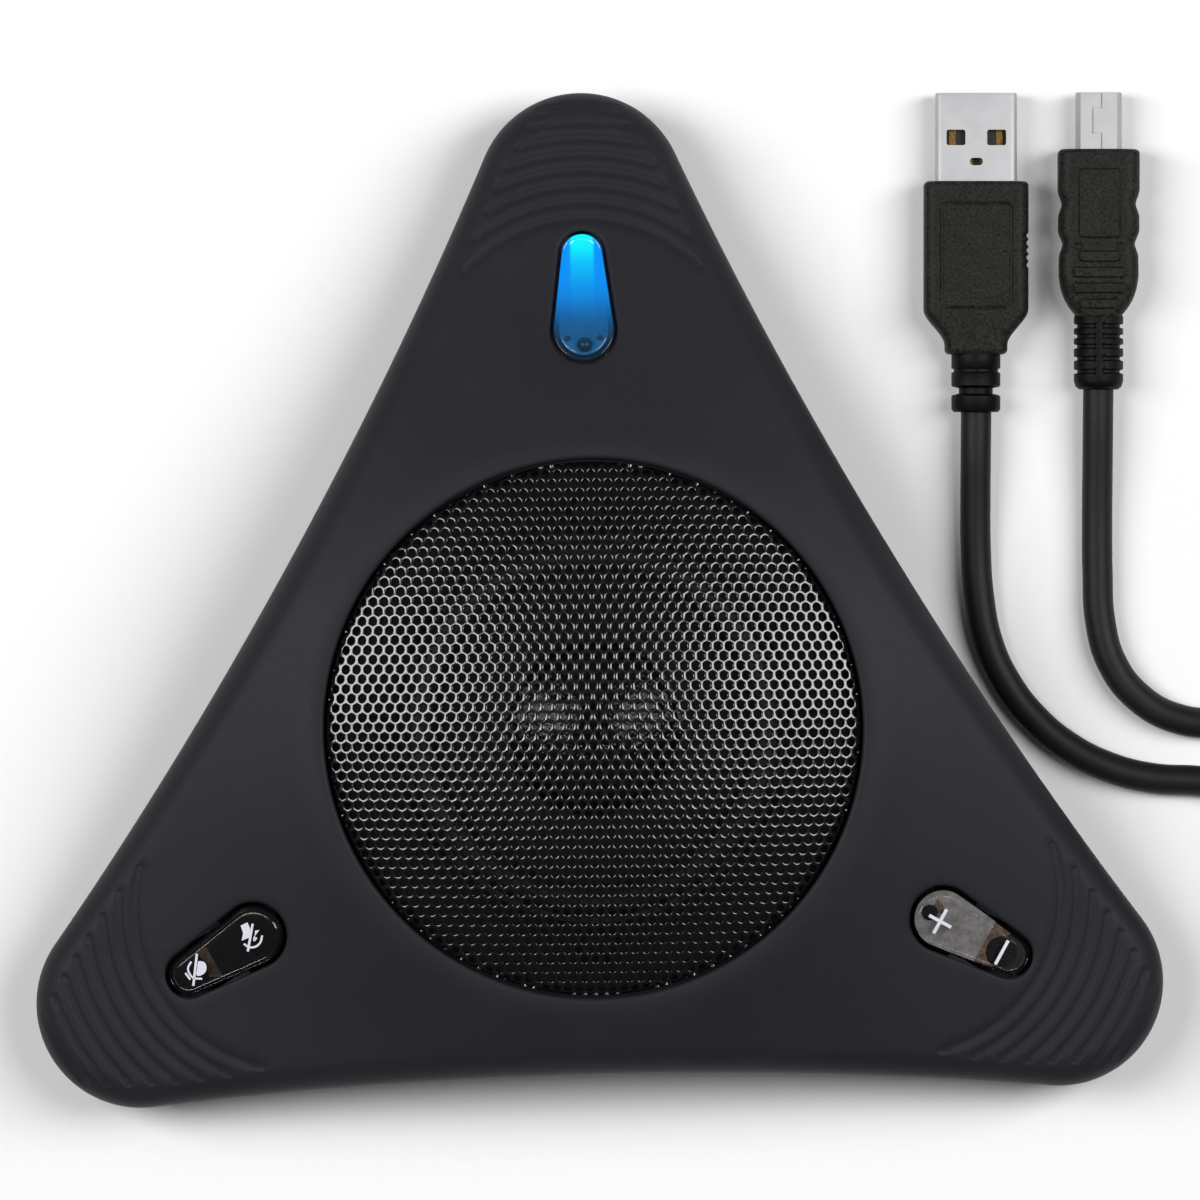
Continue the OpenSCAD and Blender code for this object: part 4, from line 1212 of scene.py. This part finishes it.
def make_lens_tray():
    """The tray under the lens's wide end, lit by the lamp behind the lens: its blue colour is painted glow
    from that lamp.
    """
    wide = arc((0, KEY_WIDE_AT), 3.6, pi, 2 * pi, 20)
    return make_plates("lens_tray", 0, [wide + [(3.3, 62.5), (-3.3, 62.5)]], key_top, -2.0, 2.3)


def make_lens_pips():
    """The sensor's dome and two pins that stand on the tray."""
    part = Shell()
    for (x, y), r in ((SENSOR_AT, 1.15), ((-2.4, 57.05), 0.4), ((2.4, 57.05), 0.4)):
        foot = key_top(x, y) - 2.2
        dome = [(r * cos(a), foot + 0.4 + r * sin(a)) for a in np.linspace(0, pi / 2, 10)]
        part.lathe([(0, foot), (r, foot)] + dome[:-1] + [(0, dome[-1][1])], (x, y), 40, closed=False)
    return part.build("lens_pips")


def volume_plate():
    """The grey plate under the volume key's wide end."""
    wide = arc((0, KEY_WIDE_AT), 4.15, pi, 2 * pi, 18)
    return [wide + [(3.8, 61.5), (3.3, 65.25), (-3.3, 65.3), (-3.8, 61.5)]]


def volume_bracket():
    """A brown bracket with a hollow end, and a crescent by the sensor under the plus mark."""
    hollow = arc(MINUS_AT, 2.35, radians(200), radians(340), 14)
    yoke = [(-3.2, 65.3), (3.2, 65.25), (2.75, 68.2)] + hollow[::-1] + [(-2.8, 68.2)]
    crescent = arc(SENSOR_AT, 2.2, 2.0, 3.1, 8) + arc(SENSOR_AT, 1.2, 2.0, 3.1, 8)[::-1]
    return [yoke, crescent]


def volume_discs():
    """The dark discs under the minus and plus marks."""
    return [circle(2.25, 32, MINUS_AT), circle(1.15, 24, SENSOR_AT)]


# ---- materials


def from_srgb(red, green, blue):
    """Linear colour from 8-bit display values."""
    return tuple(v / 255 / 12.92 if v <= 10 else ((v / 255 + 0.055) / 1.055)**2.4
                 for v in (red, green, blue))


def shade(colour, factor):
    return (*[min(1.0, v * factor) for v in colour], 1.0)


class Finish:
    """A node material: grain that varies colour, roughness and bump, under a slower change of tone."""

    def __init__(self, name, colour, rough, grain, depth, mottle, patch, metal=0.0, rough_spread=0.05,
                 stretch=(1.0, 1.0, 1.0), fleck=0.12):
        self.material = bpy.data.materials.new(name)
        self.material.use_nodes = True
        self.shader = self.material.node_tree.nodes["Principled BSDF"]
        self.place = self.node("TexCoord", {})["Object"]
        mapped = self.node("Mapping", {"Scale": stretch, "Vector": self.place})["Vector"]
        fine = self.noise(mapped, grain, 3.0)
        broad = self.noise(self.place, patch, 2.0)
        tone = self.blend(broad, shade(colour, 1 - mottle), shade(colour, 1 + mottle), 0.35, 0.65)
        flecks = self.blend(fine, (1 - fleck, 1 - fleck, 1 - fleck, 1), (1.0, 1.0, 1.0, 1), 0.3, 0.7)
        flecked = self.node("Mix", {"Factor": 1.0, "A": tone, "B": flecks}, data_type="RGBA",
                            blend_type="MULTIPLY")["Result"]
        bump = self.node("Bump", {"Distance": depth * MM, "Height": fine})["Normal"]
        self.set(Metallic=metal, Base_Color=flecked, Normal=bump,
                 Roughness=self.span(fine, 0.3, 0.7, rough - rough_spread, rough + rough_spread))

    def fill_in(self, node, inputs):
        """Set a node's inputs, each to a value or to another node's output."""
        for key, value in inputs.items():
            if isinstance(value, bpy.types.NodeSocket):
                self.material.node_tree.links.new(value, node.inputs[key])
            else:
                node.inputs[key].default_value = value

    def node(self, kind, inputs, **settings):
        """The outputs of a new node."""
        made = self.material.node_tree.nodes.new("ShaderNode" + kind)
        for key, value in settings.items():
            setattr(made, key, value)
        self.fill_in(made, inputs)
        return made.outputs

    def noise(self, place, size, detail):
        """Noise whose features are about size millimetres across."""
        return self.node("TexNoise", {"Scale": 1 / (size * MM), "Detail": detail, "Vector": place})["Fac"]

    def span(self, value, low, high, to_low=0.0, to_high=1.0):
        """A value that runs from low to high, mapped to another span."""
        return self.node("MapRange", {"Value": value, "From Min": low, "From Max": high, "To Min": to_low,
                                      "To Max": to_high})["Result"]

    def blend(self, value, first, second, low, high):
        """Two colours mixed by a value that runs from low to high."""
        return self.node("Mix", {"Factor": self.span(value, low, high), "A": first, "B": second},
                         data_type="RGBA")["Result"]

    def gradient(self, value, low, high, stops):
        """A colour ramp along a value, from (place, display colour) stops."""
        outputs = self.node("ValToRGB", {"Fac": self.span(value, low, high)})
        elements = outputs["Color"].node.color_ramp.elements
        for element, (position, colour) in zip(elements, (stops[0], stops[-1])):
            element.position, element.color = position, (*from_srgb(*colour), 1)
        for position, colour in stops[1:-1]:
            elements.new(position).color = (*from_srgb(*colour), 1)
        return outputs["Color"]

    def set(self, **values):
        """Set the shader's own inputs."""
        self.fill_in(self.shader, {key.replace("_", " "): value for key, value in values.items()})


def wear(obj, finish):
    """Give an object one material in every slot."""
    mesh = obj.data
    if not mesh.materials:
        mesh.materials.append(finish.material)
    for i in range(len(mesh.materials)):
        mesh.materials[i] = finish.material


def place(obj, nodes, slot, finish, body="root"):
    """Set a piece on its body, in place of its CAD nodes, with its finish."""
    wear(obj, FINISHES[finish])
    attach(obj, body)
    if nodes:
        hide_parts(*nodes)
    return obj


# Each finish: material, display colour, roughness, grain in mm, depth of its bump in mm, how far the tone
# varies, and the size of those patches in mm
FINISH_TABLE = {
    "shell": ("shell_plastic", (37, 36, 41), 0.5, 0.3, 0.006, 0.05, 14, dict(fleck=0.08)),
    "grille": ("grille_paint", (9, 9, 10), 0.17, 0.25, 0.002, 0.1, 5),
    "foot": ("foot_rubber", (38, 38, 40), 0.75, 0.5, 0.03, 0.1, 4),
    "soft_rubber": ("soft_rubber", (34, 34, 35), 0.6, 0.3, 0.01, 0.1, 3),
    "key_dark": ("key_smoke_dark", (14, 14, 15), 0.12, 0.6, 0.001, 0.2, 2, dict(rough_spread=0.02)),
    "key_clear": ("key_smoke_clear", (18, 17, 17), 0.12, 0.6, 0.001, 0.2, 2, dict(rough_spread=0.02)),
    "lens": ("lens_blue", (6, 18, 30), 0.08, 0.8, 0.001, 0.1, 3, dict(rough_spread=0.02)),
    # The tray's blue is painted glow from the lamp behind the lens.
    "tray": ("tray_blue", (40, 128, 186), 0.35, 0.5, 0.02, 0.12, 1.5),
    "pip": ("pip_dark", (12, 30, 44), 0.3, 0.3, 0.004, 0.2, 1),
    "band": ("band_brown", (176, 144, 118), 0.5, 0.4, 0.01, 0.3, 0.8, dict(fleck=0.3)),
    "print": ("icon_print", (222, 220, 232), 0.4, 0.15, 0.002, 0.03, 1.5, dict(fleck=0.05)),
    "interior": ("inner_black", (24, 24, 25), 0.45, 0.3, 0.006, 0.1, 4),
    "plate": ("plate_grey", (163, 159, 158), 0.4, 0.6, 0.02, 0.2, 1.3, dict(fleck=0.25)),
    "bracket": ("bracket_brown", (128, 102, 86), 0.5, 0.5, 0.01, 0.4, 0.9, dict(fleck=0.4)),
    "disc": ("inner_disc", (12, 12, 13), 0.3, 0.3, 0.004, 0.3, 1.0),
    "board": ("board_green", (10, 34, 21), 0.4, 0.5, 0.02, 0.3, 1.6),
    "led": ("led_white", (225, 225, 215), 0.35, 0.3, 0.004, 0.05, 1),
    "switch": ("switch_black", (30, 30, 31), 0.4, 0.25, 0.005, 0.1, 2),
    "cream": ("cream_nylon", (215, 207, 186), 0.45, 0.3, 0.006, 0.06, 2),
    "steel": ("steel_nickel", (196, 197, 200), 0.3, 0.25, 0.003, 0.06, 2.5,
              dict(metal=1.0, stretch=(1.0, 6.0, 1.0))),
    "plug_steel": ("plug_steel", (188, 188, 190), 0.55, 0.2, 0.002, 0.03, 3,
                   dict(metal=0.55, stretch=(4.0, 1.0, 1.0), fleck=0.06)),
    "basket": ("basket_steel", (70, 72, 74), 0.45, 0.3, 0.006, 0.12, 5, dict(metal=0.7)),
    "ferrite": ("ferrite_grey", (58, 57, 58), 0.55, 0.4, 0.02, 0.15, 2),
    "copper": ("copper_wire", (196, 104, 58), 0.3, 0.25, 0.02, 0.12, 1,
               dict(metal=1.0, stretch=(0.15, 0.15, 1.0))),
    "paper": ("cone_paper", (30, 30, 31), 0.8, 0.5, 0.04, 0.15, 2, dict(stretch=(1.0, 1.0, 0.4))),
    "dust_cap": ("dust_cap_gloss", (10, 10, 11), 0.1, 1.5, 0.3, 0.2, 3, dict(rough_spread=0.03)),
    "cloth": ("spider_cloth", (150, 118, 62), 0.8, 0.35, 0.06, 0.12, 2, dict(stretch=(1.0, 1.0, 0.3))),
    "chip": ("chip_epoxy", (26, 26, 27), 0.55, 0.15, 0.006, 0.08, 2),
    "can": ("can_aluminium", (205, 207, 210), 0.28, 0.2, 0.003, 0.04, 2,
            dict(metal=1.0, stretch=(1.0, 1.0, 0.2))),
    "cord": ("cord_jacket", (27, 27, 26), 0.5, 0.5, 0.012, 0.1, 9),
    "relief": ("relief_pvc", (7, 7, 7), 0.5, 0.3, 0.06, 0.1, 2.5, dict(fleck=0.3)),
    "tie": ("tie_strap", (30, 30, 31), 0.75, 0.4, 0.06, 0.15, 2, dict(stretch=(1.0, 1.0, 2.5))),
    "gold": ("contact_gold", (200, 160, 90), 0.22, 0.2, 0.003, 0.08, 1, dict(metal=1.0)),
    "plug": ("plug_pvc", (45, 45, 41), 0.45, 0.4, 0.1, 0.12, 2.5, dict(fleck=0.8, rough_spread=0.15)),
    "insulator": ("insulator_black", (28, 27, 27), 0.45, 0.3, 0.006, 0.1, 2),
}
FINISHES = {}
for key, (name, colour, rough, grain, depth, mottle, patch, *more) in FINISH_TABLE.items():
    FINISHES[key] = Finish(name, from_srgb(*colour), rough, grain, depth, mottle, patch, **dict(*more))
for key, level in (("shell", 0.13), ("plug", 0.1), ("relief", 0.14), ("cord", 0.2), ("grille", 0.8),
                   ("lens", 0.8)):
    FINISHES[key].set(Specular_IOR_Level=level)
for key, weight, rough in (("key_dark", 0.3, 0.05), ("key_clear", 0.3, 0.05), ("lens", 0.6, 0.04),
                           ("grille", 0.2, 0.12)):
    FINISHES[key].set(Coat_Weight=weight, Coat_Roughness=rough)
FINISHES["key_dark"].set(Alpha=0.72)
FINISHES["key_clear"].set(Alpha=0.36)


def light_the_lens(finish):
    """The glow from the light behind the narrow end, fading to clear at the wide end."""
    place = finish.node("SeparateXYZ", {"Vector": finish.place})
    aside = finish.node("Math", {0: place["X"]}, operation="ABSOLUTE")["Value"]
    low, high = (KEY_WIDE_AT - KEY_WIDE_R) * MM, (KEY_NARROW_AT + KEY_NARROW_R) * MM
    middle, side = [finish.gradient(place["Y"], low, high, stops) for stops in (LENS_MIDDLE, LENS_SIDE)]
    lit = finish.blend(aside, middle, side, LENS_BRIGHT[0] * MM, LENS_BRIGHT[1] * MM)

    # Only the top glows: the line below it follows the fall of the top surface from the wide end
    level = finish.node("Math", {0: place["Y"], 1: LENS_FALL, 2: place["Z"]},
                        operation="MULTIPLY_ADD")["Value"]
    top = (hill(np.array([KEY_WIDE_AT]))[0] + LENS_FALL * KEY_WIDE_AT) * MM
    glow = finish.blend(level, (0.0, 0.0, 0.0, 1.0), lit, top - LENS_GLOW[1] * MM, top - LENS_GLOW[0] * MM)
    clear = finish.span(place["Y"], (KEY_WIDE_AT - 2) * MM, (KEY_WIDE_AT + 5) * MM, 0.4, 1.0)
    finish.set(Emission_Color=glow, Emission_Strength=1.0, Alpha=clear)


light_the_lens(FINISHES["lens"])

# The CAD nodes that stay in view, by their finish
KEPT_NODES = {
    "interior": "light_holder light_sensor mute_key_carrier volume_key_carrier",
    "board": "light_board mute_board volume_board main_board",
    "led": "light_led",
    "switch": "mute_switches volume_switches",
    "cream": "mute_plunger_inner mute_plunger_outer volume_plunger_inner volume_plunger_outer "
             "board_connectors",
    "steel": "light_microphone mute_microphone volume_microphone speaker_top_plate speaker_yoke "
             "speaker_screws usb_socket board_screws case_screws",
    "soft_rubber": "light_mic_boot mute_mic_boot volume_mic_boot speaker_surround speaker_gasket",
    "basket": "speaker_basket",
    "ferrite": "speaker_magnet",
    "copper": "speaker_voice_coil",
    "paper": "speaker_cone",
    "chip": "audio_chip codec_chip",
    "can": "capacitors",
    "insulator": "usb_plug_tongue mini_plug_tongue",
    "gold": "usb_plug_contacts",
}


# ---- floor and lights


def make_floor():
    shell = Shell()
    shell.lathe([(r, 0.0) for r in (3000, 900, 300, 0)], steps=64, closed=False)
    floor = shell.build("floor")
    wear(floor, Finish("floor_white", (0.93, 0.93, 0.93), 0.7, 2.0, 0.005, 0.01, 200, fleck=0.01))


def softbox(name, tilt):
    """A soft light aimed at the object, hidden from the camera so that long lenses see past it."""
    data = bpy.data.lights.new(name, "AREA")
    data.shape = "RECTANGLE"
    data.size, data.size_y = LIGHT_SIZE
    data.energy = LIGHT_POWER
    light = link(bpy.data.objects.new(name, data))
    a, b = radians(tilt), radians(LIGHT_LIFT)
    light.location = (LIGHT_FAR * sin(a), LIGHT_FAR * sin(b), LIGHT_FAR * cos(a) * cos(b))
    light.rotation_euler = (-Vector(light.location)).to_track_quat("-Z", "Y").to_euler()
    light.visible_camera = False


def make_studio():
    make_floor()
    softbox("key_left", -LIGHT_TILT)
    softbox("key_right", LIGHT_TILT)
    world = bpy.data.worlds.new("studio")
    world.use_nodes = True
    world.node_tree.nodes["Background"].inputs["Color"].default_value = (*WORLD_TONE, 1)
    bpy.context.scene.world = world
    bpy.context.scene.view_settings.view_transform = "Standard"
    bpy.context.scene.view_settings.look = "None"


# ---- assembly

make_camera()
make_studio()

place(make_top_cover(), ["top_cover"], "shell_charcoal", "shell")
place(make_bottom_cover(), ["bottom_cover"], "shell_charcoal", "shell")
place(make_foot(), ["foot_ring"], "foot_rubber", "foot")
place(make_grille(), ["speaker_grille"], "grille_black", "grille")
place(make_dust_cap(), ["speaker_dust_cap"], "dust_cap_black", "dust_cap", "speaker_cone_group")
place(make_spider(), ["speaker_spider"], "spider_cloth", "cloth")
place(make_tie(), ["cord_tie"], "tie_black", "tie")
place(make_key("lens", 0, LENS_TRIM, LENS_SKIRT), ["light_lens"], "lens_blue", "lens")
place(make_lens_tray(), [], "inner_black", "tray")
place(make_lens_pips(), [], "inner_black", "pip")
place(make_key("mute_cap", 1, CAP_TRIM, CAP_SKIRT), ["mute_key_cap"], "key_smoke", "key_dark", "mute_rocker")
place(make_key("volume_cap", 2, CAP_TRIM, CAP_SKIRT),
      ["volume_key_cap"], "key_smoke", "key_clear", "volume_rocker")
for name, lobe, shapes, top, proud, sunk, slot, finish in (
        ("mute_icons", 1, mute_icons(), key_top, 0.03, 0.05, "led_white", "print"),
        ("volume_icons", 2, volume_icons(), key_top, 0.03, 0.05, "led_white", "print"),
        ("volume_plate", 2, volume_plate(), under_cap, 0.3, 0.0, "inner_black", "plate"),
        ("volume_bracket", 2, volume_bracket(), under_cap, 0.42, 0.0, "inner_black", "bracket"),
        ("volume_discs", 2, volume_discs(), under_cap, 0.5, 0.0, "inner_black", "disc"),
        ("mute_bracket", 1, [MUTE_BAND], under_cap, 0.3, 0.0, "inner_black", "band")):
    rocker = "mute_rocker" if lobe == 1 else "volume_rocker"
    place(make_plates(name, lobe, shapes, top, proud, sunk), [], slot, finish, rocker)
place(make_usb_overmould(), ["usb_plug_overmould"], "plug_black", "plug")
place(make_mini_overmould(), ["mini_plug_overmould"], "plug_black", "plug")
place(make_relief("usb_relief", USB_TIP, USB_RELIEF, [USB_SLOT], 0.0, 0.35),
      ["usb_plug_relief"], "plug_black", "relief")
place(make_relief("mini_relief", MINI_TIP, MINI_RELIEF, MINI_SLOTS, 0.55, 0.5),
      ["mini_plug_relief"], "plug_black", "relief")
place(make_metal_shell("usb_shell", USB_TIP, USB_SHELL, USB_OUT + 0.8, usb_windows()),
      ["usb_plug_shell"], "steel", "plug_steel")
place(make_metal_shell("mini_shell", MINI_TIP, MINI_SHELL, MINI_OUT + 0.8, mini_seam()),
      ["mini_plug_shell"], "steel", "plug_steel")
place(make_cord(), ["cord_lead_usb", "cord_lead_mini", "cord_coil"], "cord_black", "cord")

for key, node_names in KEPT_NODES.items():
    for node_name in node_names.split():
        wear(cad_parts[node_name], FINISHES[key])
